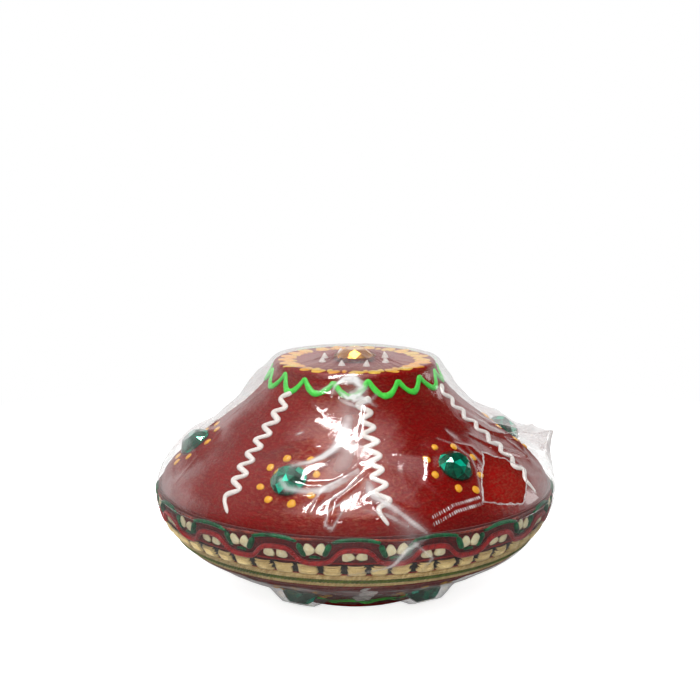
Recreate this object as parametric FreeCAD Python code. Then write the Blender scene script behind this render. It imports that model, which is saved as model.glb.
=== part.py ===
import FreeCAD, Part
import math
import os

from FreeCAD import Placement, Rotation, Vector

# A decorated pair of clay diya bowls, closed mouth to mouth and wrapped in film.
# Millimetres. +Z is up. The origin is the centre of the foot's underside. The
# front of the lamp faces -Y: azimuth 0 is the front, and it grows towards +X.
# Each outline is drawn in the r-z plane, from the rim towards the foot or disc.

# --- driving dimensions -------------------------------------------------------

RIM_RADIUS = 57.2
SEAM_HEIGHT = 31.2          # top of the lower bowl's rim
COVER_TOP = 67.5            # flat top of the upper bowl
FOOT_RADIUS = 23.0
WALL_THICKNESS = 4.5
FLOOR_THICKNESS = 6.5
FLOOR_FLAT_RADIUS = 12.0
SEAM_GAP = 0.05             # unglazed rims that rest on each other
TOUCH_GAP = 0.03            # between a glued or painted piece and what it sits on

GEM_RADIUS = 5.0
GEM_HEIGHT = 3.0
GLUE_THICKNESS = 0.12       # under each flat-backed gem
DOTS_PER_GEM = 8
DOT_RADIUS = 1.2
DOT_HEIGHT = 0.4
DOT_RING_RADIUS = 8.0
LINE_RADIUS = 0.6           # raised paint lines
ZIGZAG_PITCH = 3.9
ZIGZAG_HALF_WIDTH = 1.8
SCALLOP_COUNT = 17
SCALLOP_AZIMUTH = 18.6      # middle of the first hanging arc

PETAL_COUNT = 24
TOP_GEM_RADIUS = 5.7
TOP_GEM_HEIGHT = 3.0
PEAK_COUNT = 8
PEAK_RING_RADIUS = 10.0
PEAK_HEIGHT = 2.0

LACE_WIDTH = 18.0
TAPE_THICKNESS = 0.5
LACE_LIP = 0.6              # how far the tape stands above the seam
LACE_REPEATS = 17
BLOCK_COUNT = 56

WICK_PAD_RADIUS = 8.0
WICK_HEIGHT = 26.0

FILM_RADIUS = 60.0
FILM_THICKNESS = 0.25

FULL_TURN = 360.0


# --- turned outlines ----------------------------------------------------------

def arc_or_line(start, middle, end):
    """The arc through three points, or a line where they lie on one."""
    chord = end - start
    sagitta = (middle - start).cross(chord).Length / chord.Length
    if sagitta < 0.01:
        return Part.LineSegment(start, end).toShape()
    return Part.Arc(start, middle, end).toShape()


class Outline:
    """An outline in the r-z plane, drawn as arcs that meet tangentially.

    heading is the first arc's direction in degrees from +r, and outside is
    +90 or -90: the turn from the direction of travel to the outer side.
    """

    def __init__(self, start, heading, outside, stations):
        self.outside = math.radians(outside)
        self.edges = []
        here = Vector(start[0], 0, start[1])
        for radius, height in stations:
            there = Vector(radius, 0, height)
            chord = there - here
            turn = math.atan2(chord.z, chord.x) - math.radians(heading)
            turn = math.remainder(turn, 2 * math.pi)
            bulge = Vector(chord.z, 0, -chord.x) * (math.tan(turn / 2) / 2)
            self.edges.append(arc_or_line(here, (here + there) / 2 + bulge, there))
            heading += math.degrees(2 * turn)
            here = there
        self.length = sum(edge.Length for edge in self.edges)

    def locate(self, run):
        """Position and unit tangent at a distance along the outline."""
        if run < 0:
            edge = self.edges[0]
            tangent = edge.tangentAt(edge.FirstParameter)
            return edge.valueAt(edge.FirstParameter) + tangent * run, tangent
        index = 0
        while run > self.edges[index].Length and index < len(self.edges) - 1:
            run -= self.edges[index].Length
            index += 1
        edge = self.edges[index]
        parameter = edge.getParameterByLength(min(run, edge.Length))
        return edge.valueAt(parameter), edge.tangentAt(parameter)

    def normal(self, run):
        tangent = self.locate(run)[1]
        cosine = math.cos(self.outside)
        sine = math.sin(self.outside)
        return Vector(tangent.x * cosine - tangent.z * sine, 0,
                      tangent.x * sine + tangent.z * cosine)

    def point(self, run, lift=0.0):
        """A point at a distance along the outline, lifted off its outer side."""
        return self.locate(run)[0] + self.normal(run) * lift

    def marks(self, run_from, run_to):
        """The run at both ends and at each meeting of two arcs between them."""
        marks = [run_from]
        run = 0.0
        for edge in self.edges:
            if run_from < run < run_to:
                marks.append(run)
            run += edge.Length
        return marks + [run_to]

    def track(self, run_from, run_to, lift):
        """The outline's edges between two runs, at a constant lift."""
        marks = self.marks(run_from, run_to)
        corners = [self.point(run, lift) for run in marks]
        middles = [self.point((a + b) / 2, lift) for a, b in zip(marks, marks[1:])]
        return [arc_or_line(a, m, b) for a, m, b in zip(corners, middles, corners[1:])]

    def strip(self, run_from, run_to, low, high):
        """The face between two lifts, from one run to another."""
        outer = self.track(run_from, run_to, high)
        inner = self.track(run_from, run_to, low)
        ends = [Part.LineSegment(inner[i].Vertexes[i].Point, outer[i].Vertexes[i].Point).toShape()
                for i in (0, -1)]
        wire = Part.Wire(Part.__sortEdges__(outer + inner + ends))
        return Part.Face(wire)

    def seat(self, run, azimuth, lift=0.0):
        """A placement on the outer side: X runs around, Y along the outline, Z out."""
        turn = Rotation(Vector(0, 0, 1), azimuth - 90)
        out = turn.multVec(self.normal(run))
        around = turn.multVec(Vector(0, 1, 0))
        along = out.cross(around)
        spot = turn.multVec(self.point(run, lift))
        return Placement(spot, Rotation(around, along, out, "ZXY"))

    def spot(self, run, azimuth, lift):
        return self.seat(run, azimuth, lift).Base


lower_wall = Outline(
    (RIM_RADIUS, SEAM_HEIGHT), -90, 90,
    [(56.15, 25.8), (53.8, 21.4), (48.8, 15.8), (37.4, 8.55), (28.4, 4.2), (25.35, 2.3),
     (23.9, 0.9), (FOOT_RADIUS, 0.0)])
upper_wall = Outline(
    (RIM_RADIUS, SEAM_HEIGHT + SEAM_GAP), 90, -90,
    [(56.74, 33.6), (54.56, 36.96), (45.6, 44.9), (35.2, 52.7), (28.5, 58.75), (24.8, 64.0),
     (23.85, 66.7), (FOOT_RADIUS, COVER_TOP)])


# --- shared helpers -----------------------------------------------------------

def turned(face, sweep=FULL_TURN, azimuth=0.0):
    """A face in the r-z plane turned about +Z, centred on an azimuth."""
    solid = face.revolve(Vector(0, 0, 0), Vector(0, 0, 1), sweep)
    solid.rotate(Vector(0, 0, 0), Vector(0, 0, 1), azimuth - 90 - sweep / 2)
    return solid


def placed(shape, placement):
    copy = shape.copy()
    copy.Placement = placement.multiply(shape.Placement)
    return copy


def spun(shape, azimuth):
    """A copy of a shape turned about +Z by an angle."""
    copy = shape.copy()
    copy.rotate(Vector(0, 0, 0), Vector(0, 0, 1), azimuth)
    return copy


def even_azimuths(count, first=0.0):
    return [first + FULL_TURN * i / count for i in range(count)]


def ring_cord(outline, run, lift, radius):
    """A round cord laid all the way around an outline."""
    centre = outline.point(run, lift)
    return Part.makeTorus(centre.x, radius, Vector(0, 0, centre.z))


def arc_cord(start, middle, end, radius):
    """A round cord along the arc through three points."""
    arc = Part.Arc(start, middle, end).toShape()
    circle = arc.Curve
    section = Part.Circle(start, arc.tangentAt(arc.FirstParameter), radius).toShape()
    disc = Part.Face(Part.Wire(section))
    sweep = math.degrees(arc.LastParameter - arc.FirstParameter)
    return disc.revolve(circle.Center, circle.Axis, sweep)


def bead_line(points, radii):
    """A raised paint line: tapered links between points, with round corners."""
    links = []
    for a, b, radius_a, radius_b in zip(points, points[1:], radii, radii[1:]):
        step = b - a
        if abs(radius_a - radius_b) < 1e-6:
            links.append(Part.makeCylinder(radius_a, step.Length, a, step))
        else:
            links.append(Part.makeCone(radius_a, radius_b, step.Length, a, step))
        links.append(Part.makeSphere(radius_b, b))
    links.append(Part.makeSphere(radii[0], points[0]))
    return links[0].multiFuse(links[1:]).removeSplitter()


# --- clay bowls ---------------------------------------------------------------

def bowl(wall, foot_height, floor_height, cavity_run):
    """A hollow turned bowl: outer wall, flat foot, rounded floor, flat rim."""
    outer = wall.track(0, wall.length, 0)
    inner = wall.track(0, cavity_run, -WALL_THICKNESS)
    rim = Part.LineSegment(wall.point(0), wall.point(0, -WALL_THICKNESS)).toShape()
    cavity_end = wall.point(cavity_run, -WALL_THICKNESS)
    slope = wall.locate(cavity_run)[1]
    reach = (floor_height - cavity_end.z) / slope.z
    corner = cavity_end + slope * reach
    floor_edge = Vector(FLOOR_FLAT_RADIUS, 0, floor_height)
    blend = Part.BezierCurve()
    blend.setPoles([cavity_end, corner, floor_edge])
    foot_edge = wall.point(wall.length)
    foot_centre = Vector(0, 0, foot_height)
    floor_centre = Vector(0, 0, floor_height)
    edges = outer + inner + [
        rim,
        blend.toShape(),
        Part.LineSegment(floor_edge, floor_centre).toShape(),
        Part.LineSegment(floor_centre, foot_centre).toShape(),
        Part.LineSegment(foot_centre, foot_edge).toShape(),
    ]
    return turned(Part.Face(Part.Wire(Part.__sortEdges__(edges))))


def lower_bowl():
    return bowl(lower_wall, 0.0, FLOOR_THICKNESS, 27.0)


def upper_bowl():
    return bowl(upper_wall, COVER_TOP, COVER_TOP - FLOOR_THICKNESS, 29.0)


# --- painted and glued decoration --------------------------------------------

# azimuth and run of each glued gem
UPPER_GEM_SPOTS = [(-82, 16.7), (-21.5, 15.5), (36.5, 18.3), (101, 17.5), (158, 16.5), (219, 17)]
UPPER_ZIGZAG_AZIMUTHS = [-42, 7, 67, 128, 188, 250]
UPPER_ZIGZAG_RUNS = (7.5, 43.6)
UPPER_SCALLOP_RUNS = (48.3, 45.0)

LOWER_GEM_SPOTS = [(-84, 32), (-24, 32), (31, 32), (95, 32), (155, 32), (215, 32)]
LOWER_ZIGZAG_AZIMUTHS = [-54, 4, 63, 125, 185, 245]
LOWER_ZIGZAG_RUNS = (23.0, 41.6)
LOWER_SCALLOP_RUNS = (46.0, 43.3)


def faceted_stone(radius, height):
    """A flat-backed acrylic stone: straight girdle, two bevels, flat table."""
    outline = [(0, 0), (radius, 0), (radius, 0.2 * height), (0.76 * radius, 0.72 * height),
               (0.42 * radius, height), (0, height), (0, 0)]
    face = Part.Face(Part.makePolygon([Vector(r, 0, z) for r, z in outline]))
    return turned(face)


def gems(wall, spots):
    stone = faceted_stone(GEM_RADIUS, GEM_HEIGHT)
    return [placed(stone, wall.seat(run, azimuth, GLUE_THICKNESS)) for azimuth, run in spots]


def dots(wall, spots):
    """Small paint dots in a ring around each gem."""
    dot = Part.makeCone(DOT_RADIUS, 0.6 * DOT_RADIUS, DOT_HEIGHT)
    shapes = []
    for azimuth, run in spots:
        for angle in even_azimuths(DOTS_PER_GEM, 22.5):
            along = run + DOT_RING_RADIUS * math.cos(math.radians(angle))
            around = DOT_RING_RADIUS * math.sin(math.radians(angle))
            turn = math.degrees(around / wall.point(run).x)
            shapes.append(placed(dot, wall.seat(along, azimuth + turn, TOUCH_GAP)))
    return shapes


def zigzags(wall, runs, azimuths):
    """Raised white zigzag lines from near the rim towards the foot or disc."""
    tail_run, last_run = runs
    count = int((last_run - tail_run) / ZIGZAG_PITCH * 2)
    lift = LINE_RADIUS + 2 * TOUCH_GAP
    points = [wall.spot(tail_run - ZIGZAG_PITCH, 0, lift)]
    for i in range(count + 1):
        run = tail_run + (last_run - tail_run) * i / count
        side = ZIGZAG_HALF_WIDTH if i % 2 else -ZIGZAG_HALF_WIDTH
        points.append(wall.spot(run, math.degrees(side / wall.point(run).x), lift))
    radii = [0.5 * LINE_RADIUS] + [LINE_RADIUS] * (count + 1)
    line = bead_line(points, radii)
    return [spun(line, azimuth) for azimuth in azimuths]


def scallops(wall, runs):
    """A garland of hanging arcs around the neck of a bowl."""
    cusp_run, bottom_run = runs
    lift = LINE_RADIUS + 2 * TOUCH_GAP
    half = FULL_TURN / SCALLOP_COUNT / 2
    garland = arc_cord(wall.spot(cusp_run, -half, lift), wall.spot(bottom_run, 0, lift + 0.4),
                       wall.spot(cusp_run, half, lift), LINE_RADIUS)
    azimuths = even_azimuths(SCALLOP_COUNT, SCALLOP_AZIMUTH)
    return [spun(garland, azimuth) for azimuth in azimuths]


# --- top disc -----------------------------------------------------------------

def top_petals():
    """Flat painted petals around the edge of the disc."""
    petal_length = 5.6
    petal_width = 4.4
    petal_height = 0.3
    ellipse = Part.Ellipse(Vector(0, 0, 0), petal_length / 2, petal_width / 2).toShape()
    petal = Part.Face(Part.Wire(ellipse)).extrude(Vector(0, 0, petal_height))
    petal.translate(Vector(FOOT_RADIUS - petal_length / 2 - 0.4, 0, COVER_TOP + TOUCH_GAP))
    return [spun(petal, azimuth) for azimuth in even_azimuths(PETAL_COUNT)]


def top_peaks():
    """Small pointed drops of white paint in a ring around the orange stone."""
    base_radius = 0.85
    tip_radius = 0.12
    peak = Part.makeCone(base_radius, tip_radius, PEAK_HEIGHT,
                         Vector(PEAK_RING_RADIUS, 0, COVER_TOP + TOUCH_GAP))
    return [spun(peak, azimuth) for azimuth in even_azimuths(PEAK_COUNT, 22.5)]


def top_foil_cup():
    """A shallow pressed foil cup that holds the orange stone."""
    sheet = 0.35
    height = 1.3
    outer = Part.makeCylinder(TOP_GEM_RADIUS + sheet + TOUCH_GAP, height,
                              Vector(0, 0, COVER_TOP + TOUCH_GAP))
    room = Part.makeCylinder(TOP_GEM_RADIUS + TOUCH_GAP, height,
                             Vector(0, 0, COVER_TOP + TOUCH_GAP + sheet))
    return [outer.cut(room)]


def top_gem():
    stone = faceted_stone(TOP_GEM_RADIUS, TOP_GEM_HEIGHT)
    stone.translate(Vector(0, 0, COVER_TOP + 0.35 + 2 * TOUCH_GAP))
    return [stone]


# --- lace trim glued around the lower bowl ------------------------------------

LACE_BASE = TOUCH_GAP + TAPE_THICKNESS + TOUCH_GAP      # lift of whatever lies on the tape
REPEAT_ANGLE = FULL_TURN / LACE_REPEATS


def lace_tape():
    strip = lower_wall.strip(-LACE_LIP, LACE_WIDTH, TOUCH_GAP, TOUCH_GAP + TAPE_THICKNESS)
    return [turned(strip)]


def lace_cord(run, radius):
    return [ring_cord(lower_wall, run, LACE_BASE + radius, radius)]


def lace_green_arcs():
    """Short satin cords that bow upwards on the top edge."""
    radius = 0.5
    lift = LACE_BASE + radius
    half = 0.22 * REPEAT_ANGLE
    arc = arc_cord(lower_wall.spot(1.9, -half, lift), lower_wall.spot(1.2, 0, lift + 0.15),
                   lower_wall.spot(1.9, half, lift), radius)
    return [spun(arc, azimuth) for azimuth in even_azimuths(LACE_REPEATS)]


def lace_red_wave():
    """A cord that waves up under each green arc and down between two."""
    radius = 0.4
    crest_run = 3.0
    trough_run = 6.2
    lift = LACE_BASE + radius
    middle_run = (crest_run + trough_run) / 2
    quarter = REPEAT_ANGLE / 4
    shapes = []
    for peak_run, offset in ((crest_run, 0.0), (trough_run, REPEAT_ANGLE / 2)):
        arc = arc_cord(lower_wall.spot(middle_run, -quarter, lift),
                       lower_wall.spot(peak_run, 0, lift + 0.35),
                       lower_wall.spot(middle_run, quarter, lift), radius)
        shapes += [spun(arc, azimuth) for azimuth in even_azimuths(LACE_REPEATS, offset)]
    return shapes


def lace_petals():
    """Pairs of pale sequins, under each green arc and between two."""
    radius = 1.25
    thickness = 0.4
    petal = Part.makeCylinder(radius, thickness)
    spread = math.degrees(1.4 / RIM_RADIUS)
    shapes = []
    for run, offset in ((5.6, 0.0), (3.0, REPEAT_ANGLE / 2)):
        for azimuth in even_azimuths(LACE_REPEATS, offset):
            for side in (-spread, spread):
                seat = lower_wall.seat(run, azimuth + side, LACE_BASE)
                shapes.append(placed(petal, seat))
    return shapes


def lace_leaves():
    """Small green leaves that lean outwards on both sides of a sequin pair."""
    leaf = Part.makeBox(0.9, 2.4, 0.5, Vector(-0.45, -1.2, 0))
    spread = math.degrees(3.7 / RIM_RADIUS)
    shapes = []
    for azimuth in even_azimuths(LACE_REPEATS, REPEAT_ANGLE / 2):
        for side in (-1, 1):
            seat = lower_wall.seat(2.6, azimuth + side * spread, LACE_BASE)
            lean = Placement(Vector(0, 0, 0), Rotation(Vector(0, 0, 1), 25 * side))
            shapes.append(placed(leaf, seat.multiply(lean)))
    return shapes


def lace_ladder(run_from, run_to, height, sweep, first):
    """Evenly spaced blocks of thread around the trim."""
    strip = lower_wall.strip(run_from, run_to, LACE_BASE, LACE_BASE + height)
    return [turned(strip, sweep, azimuth) for azimuth in even_azimuths(BLOCK_COUNT, first)]


# --- wick and film ------------------------------------------------------------

def cotton_wick():
    """A cotton flower wick: a flat pad with an upright twisted stem."""
    stem_radius = 1.5
    outline = [(0, 0), (0.9 * WICK_PAD_RADIUS, 0), (WICK_PAD_RADIUS, 1.4),
               (0.7 * WICK_PAD_RADIUS, 3.2), (2.6, 4.4), (stem_radius, 7.5),
               (stem_radius, WICK_HEIGHT - 6), (1.3 * stem_radius, WICK_HEIGHT - 3),
               (0.4 * stem_radius, WICK_HEIGHT), (0, WICK_HEIGHT), (0, 0)]
    base = FLOOR_THICKNESS + TOUCH_GAP
    face = Part.Face(Part.makePolygon([Vector(r, 0, z + base) for r, z in outline]))
    return [turned(face)]


def film_sheet(stations, inward):
    """A thin turned sheet: outer stations, and the same ones moved inwards."""
    outer = [Vector(radius, 0, height) for radius, height in stations]
    inner = [Vector(max(p.x - FILM_THICKNESS, 0), 0, p.z + inward * FILM_THICKNESS)
             for p in outer]
    inner[0].z = outer[0].z
    return turned(Part.Face(Part.makePolygon(outer + inner[::-1] + outer[:1])))


def film_upper():
    """The film's upper sheet, from its seal at the belt over the top disc."""
    return [film_sheet([(FILM_RADIUS, SEAM_HEIGHT + 0.4), (59.4, 37.0), (57.0, 41.4),
                        (48.4, 49.4), (36.0, 59.6), (25.6, 69.2), (22.5, 71.2), (0.0, 71.9)],
                       -1)]


def film_lower():
    """The film's lower sheet, from the seal at the belt to the foot's edge."""
    return [film_sheet([(FILM_RADIUS, SEAM_HEIGHT + 0.2), (59.8, 26.0), (57.6, 20.0),
                        (52.4, 13.6), (41.6, 4.6), (27.2, 0.5)],
                       1)]


# --- write one file per node --------------------------------------------------

def write(node, solids):
    shape = solids[0] if len(solids) == 1 else Part.makeCompound(solids)
    shape.exportStep(os.path.join("parts", node + ".step"))
    print(node, len(solids), round(shape.Volume, 1), shape.isValid())


def main():
    os.makedirs("parts", exist_ok=True)

    write("lower_bowl", [lower_bowl()])
    write("lower_green_scallops", scallops(lower_wall, LOWER_SCALLOP_RUNS))
    write("lower_white_zigzags", zigzags(lower_wall, LOWER_ZIGZAG_RUNS, LOWER_ZIGZAG_AZIMUTHS))
    write("lower_green_gems", gems(lower_wall, LOWER_GEM_SPOTS))
    write("lower_yellow_dots", dots(lower_wall, LOWER_GEM_SPOTS))

    write("lace_tape", lace_tape())
    write("lace_top_cord", lace_cord(0.0, 0.4))
    write("lace_green_arcs", lace_green_arcs())
    write("lace_red_wave_cord", lace_red_wave())
    write("lace_cream_petals", lace_petals())
    write("lace_green_leaves", lace_leaves())
    write("lace_gold_blocks", lace_ladder(7.4, 10.8, 0.7, 4.2, 0.0))
    write("lace_black_bars", lace_ladder(7.6, 10.6, 0.3, 1.5, FULL_TURN / BLOCK_COUNT / 2))
    write("lace_upper_gold_cord", lace_cord(12.2, 0.7))
    write("lace_olive_cord", lace_cord(13.8, 0.6))
    write("lace_lower_gold_cord", lace_cord(15.4, 0.7))
    write("lace_red_edge_cord", lace_cord(17.2, 0.45))

    write("cotton_wick", cotton_wick())

    write("upper_bowl", [upper_bowl()])
    write("upper_green_scallops", scallops(upper_wall, UPPER_SCALLOP_RUNS))
    write("upper_white_zigzags", zigzags(upper_wall, UPPER_ZIGZAG_RUNS, UPPER_ZIGZAG_AZIMUTHS))
    write("upper_green_gems", gems(upper_wall, UPPER_GEM_SPOTS))
    write("upper_yellow_dots", dots(upper_wall, UPPER_GEM_SPOTS))
    write("top_petal_border", top_petals())
    write("top_white_peaks", top_peaks())
    write("top_foil_cup", top_foil_cup())
    write("top_orange_gem", top_gem())

    write("wrap_film_upper", film_upper())
    write("wrap_film_lower", film_lower())


main()
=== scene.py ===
import math

import bmesh
import bpy
import numpy as np
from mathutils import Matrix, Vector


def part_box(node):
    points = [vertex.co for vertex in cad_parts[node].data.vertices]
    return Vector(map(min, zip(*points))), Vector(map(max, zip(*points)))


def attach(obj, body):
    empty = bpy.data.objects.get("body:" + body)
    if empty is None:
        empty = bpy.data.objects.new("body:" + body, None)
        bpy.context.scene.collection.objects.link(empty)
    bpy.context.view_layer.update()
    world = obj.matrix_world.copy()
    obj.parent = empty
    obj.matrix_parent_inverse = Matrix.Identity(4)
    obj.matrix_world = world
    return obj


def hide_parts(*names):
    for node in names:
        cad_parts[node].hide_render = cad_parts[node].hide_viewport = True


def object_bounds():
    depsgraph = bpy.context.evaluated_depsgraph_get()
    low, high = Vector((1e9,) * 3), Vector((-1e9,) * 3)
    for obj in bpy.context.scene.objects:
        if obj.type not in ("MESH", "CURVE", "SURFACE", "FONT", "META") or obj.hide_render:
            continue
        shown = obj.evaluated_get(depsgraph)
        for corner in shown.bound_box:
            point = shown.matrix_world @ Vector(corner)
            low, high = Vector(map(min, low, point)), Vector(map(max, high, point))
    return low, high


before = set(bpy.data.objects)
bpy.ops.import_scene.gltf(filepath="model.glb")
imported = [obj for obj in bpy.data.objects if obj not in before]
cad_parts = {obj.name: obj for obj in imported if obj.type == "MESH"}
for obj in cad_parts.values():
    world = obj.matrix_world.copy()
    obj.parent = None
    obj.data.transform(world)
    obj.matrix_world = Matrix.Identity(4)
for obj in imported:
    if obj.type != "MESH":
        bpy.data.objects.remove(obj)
cad_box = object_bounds()

# A pair of decorated clay diya bowls, closed mouth to mouth and wrapped in clear film.
# Shapes are built in millimetres in the frame's axes and scaled to metres when a piece
# is made. Azimuth 0 is the front (-Y) and grows towards +X, in degrees. Run is the
# distance from a bowl's rim along its painted side, and lift is the height above it.

MM = 0.001
FULL_TURN = 360.0
GROUP_GAP = 12.0            # degrees between the groups that make up a node


# --- outlines read from the frame -----------------------------------------------

def side_outline(node, facing):
    """A turned node's outer (facing 1) or inner (-1) side: (radius, height) by height."""
    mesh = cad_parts[node].data
    rings = {}
    for polygon in mesh.polygons:
        centre, normal = polygon.center, polygon.normal
        reach = math.hypot(centre.x, centre.y)
        radial = (centre.x * normal.x + centre.y * normal.y) / max(reach, 1e-6)
        if radial * facing > 0.03:
            for index in polygon.vertices:
                x, y, z = mesh.vertices[index].co / MM
                rings.setdefault(round(z, 1), []).append((math.hypot(x, y), z))
    return np.array([np.mean(rings[key], axis=0) for key in sorted(rings)])


def smooth_curve(points, count):
    """A smooth curve through points, resampled at even steps."""
    steps = np.hypot(*np.diff(points, axis=0).T)
    knots = np.concatenate([[0.0], np.cumsum(steps)])
    slopes = np.gradient(points, knots, axis=0)
    at = np.linspace(0, knots[-1], count)
    i = np.clip(np.searchsorted(knots, at, side="right") - 1, 0, len(knots) - 2)
    span = (knots[i + 1] - knots[i])[:, None]
    t = (at - knots[i])[:, None] / span
    return ((2 * t**3 - 3 * t**2 + 1) * points[i] + (t**3 - 2 * t**2 + t) * span * slopes[i]
            + (3 * t**2 - 2 * t**3) * points[i + 1] + (t**3 - t**2) * span * slopes[i + 1])


class Wall:
    """A bowl's painted outer side."""

    def __init__(self, node, rim_on_top):
        outline = side_outline(node, 1)
        if rim_on_top:
            outline = outline[::-1]
        self.outline = smooth_curve(outline, 300)
        steps = np.hypot(*np.diff(self.outline, axis=0).T)
        self.runs = np.concatenate([[0.0], np.cumsum(steps)])
        self.length = self.runs[-1]
        tangents = np.gradient(self.outline, self.runs, axis=0)
        tangents /= np.linalg.norm(tangents, axis=1)[:, None]
        side = -1 if rim_on_top else 1
        self.normals = side * np.column_stack([tangents[:, 1], -tangents[:, 0]])
        self.rim_slope = tangents[0]

    def station(self, run):
        """Radius, height and the outward normal's two parts at a run."""
        before = np.minimum(run, 0)
        radius = np.interp(run, self.runs, self.outline[:, 0]) + before * self.rim_slope[0]
        height = np.interp(run, self.runs, self.outline[:, 1]) + before * self.rim_slope[1]
        out_r = np.interp(run, self.runs, self.normals[:, 0])
        out_z = np.interp(run, self.runs, self.normals[:, 1])
        return radius, height, out_r, out_z

    def point(self, azimuth, run, lift=0.0):
        azimuth, run, lift = np.broadcast_arrays(azimuth, run, lift)
        radius, height, out_r, out_z = self.station(run)
        return around(azimuth, radius + out_r * lift, height + out_z * lift)

    def outward(self, azimuth, run):
        azimuth, run = np.broadcast_arrays(azimuth, run)
        out_r, out_z = self.station(run)[2:]
        return around(azimuth, out_r, out_z)

    def degrees(self, width, run):
        """The azimuth step that a width in mm takes at a run."""
        return np.degrees(width / self.station(run)[0])

    def distance(self, azimuth, run, spot):
        """How far in mm places on the wall are from an (azimuth, run) spot."""
        per_degree = math.radians(1) * self.station(run)[0]
        return np.hypot(away(azimuth, spot[0]) * per_degree, run - spot[1])

    def laid(self, shape, azimuth, run, lean=0.0):
        """A flat shape (across, along, up) laid on the wall at one spot."""
        turn = math.radians(lean)
        u = shape.verts[:, 0] * math.cos(turn) - shape.verts[:, 1] * math.sin(turn)
        v = shape.verts[:, 0] * math.sin(turn) + shape.verts[:, 1] * math.cos(turn)
        spots = self.point(azimuth + self.degrees(u, run + v), run + v, shape.verts[:, 2])
        return Shape(spots, shape.quads, shape.tris, shape.tone)


def circle(count, start=0.0):
    """Azimuths at even steps around the axis."""
    return np.linspace(start, start + FULL_TURN, count, endpoint=False)


def away(azimuth, centre):
    """The signed azimuth difference, in [-180, 180)."""
    return np.mod(azimuth - centre + FULL_TURN / 2, FULL_TURN) - FULL_TURN / 2


def around(azimuth, radius, height):
    """Points in the frame's axes."""
    angle = np.radians(azimuth)
    return np.stack([radius * np.sin(angle), -radius * np.cos(angle),
                     np.broadcast_to(height, angle.shape)], axis=-1)


def group_azimuths(node):
    """The middle azimuth of each of a node's separate groups around the axis."""
    corners = np.array([v.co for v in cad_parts[node].data.vertices])
    azimuths = np.sort(np.degrees(np.arctan2(corners[:, 0], -corners[:, 1])))
    breaks = np.flatnonzero(np.diff(azimuths) > GROUP_GAP)
    groups = np.split(azimuths, breaks + 1)
    if len(groups) > 1 and azimuths[0] + FULL_TURN - azimuths[-1] < GROUP_GAP:
        groups[0] = np.concatenate([groups[-1] - FULL_TURN, groups[0]])
        groups.pop()
    return [float(group.min() + group.max()) / 2 for group in groups]


def group_spots(node, wall):
    """The (azimuth, run) on a wall of each of a node's groups."""
    corners = np.array([v.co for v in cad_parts[node].data.vertices]) / MM
    azimuths = np.degrees(np.arctan2(corners[:, 0], -corners[:, 1]))
    spots = []
    for middle in group_azimuths(node):
        group = corners[np.abs(away(azimuths, middle)) < GROUP_GAP]
        radii, heights = np.hypot(group[:, 0], group[:, 1]), group[:, 2]
        radius, height = (radii.min() + radii.max()) / 2, (heights.min() + heights.max()) / 2
        nearest = np.hypot(wall.outline[:, 0] - radius, wall.outline[:, 1] - height).argmin()
        spots.append((middle, float(wall.runs[nearest])))
    return spots


# --- noise ----------------------------------------------------------------------

def soft_noise(azimuth, run, cell_degrees, cell_run, seed):
    """Smooth noise in [-1, 1] over azimuth, where it wraps around, and run."""
    columns = max(3, round(FULL_TURN / cell_degrees))
    rows = 64
    table = np.random.default_rng(seed).uniform(-1, 1, (rows, columns))
    u = np.mod(azimuth, FULL_TURN) / FULL_TURN * columns
    v = np.mod(run / cell_run + rows / 2, rows)
    i, j = np.floor(u).astype(int), np.floor(v).astype(int)
    fu, fv = u - i, v - j
    fu, fv = fu * fu * (3 - 2 * fu), fv * fv * (3 - 2 * fv)
    i, j, i_next, j_next = i % columns, j % rows, (i + 1) % columns, (j + 1) % rows
    low = table[j, i] * (1 - fu) + table[j, i_next] * fu
    high = table[j_next, i] * (1 - fu) + table[j_next, i_next] * fu
    return low * (1 - fv) + high * fv


def creases(azimuth, run, cell_degrees, cell_run, seed):
    """Sharp-crested noise in [0, 1], as creased film has."""
    ridge = 1 - np.abs(soft_noise(azimuth, run, cell_degrees, cell_run, seed)) * 2
    return np.clip(ridge, 0, 1) ** 2


# --- shapes ---------------------------------------------------------------------

class Shape:
    """Vertices in mm with quads, triangles and a tone for each vertex."""

    def __init__(self, verts, quads=None, tris=None, tone=0.5):
        self.verts = np.asarray(verts, float).reshape(-1, 3)
        self.quads = np.zeros((0, 4), int) if quads is None else np.asarray(quads, int)
        self.tris = np.zeros((0, 3), int) if tris is None else np.asarray(tris, int)
        self.tone = np.broadcast_to(tone, len(self.verts)).astype(float)


def joined(shapes):
    starts = np.cumsum([0] + [len(shape.verts) for shape in shapes[:-1]])
    return Shape(np.concatenate([shape.verts for shape in shapes]),
                 np.concatenate([s.quads + start for s, start in zip(shapes, starts)]),
                 np.concatenate([s.tris + start for s, start in zip(shapes, starts)]),
                 np.concatenate([shape.tone for shape in shapes]))


def grid_quads(rows, columns, wrap_rows=False, wrap_columns=False):
    """The quads of a grid of vertices stored row by row."""
    i = np.arange(rows if wrap_rows else rows - 1)[:, None]
    j = np.arange(columns if wrap_columns else columns - 1)[None, :]
    i_next, j_next = (i + 1) % rows, (j + 1) % columns
    corners = [i * columns + j, i_next * columns + j, i_next * columns + j_next,
               i * columns + j_next]
    return np.stack(corners, axis=-1).reshape(-1, 4)


def fan(centre, ring, reverse=False):
    """The triangles between a centre vertex and a closed ring of vertices."""
    after = np.roll(ring, -1)
    sides = (after, ring) if reverse else (ring, after)
    return np.stack([np.full(len(ring), centre), *sides], axis=-1)


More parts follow.
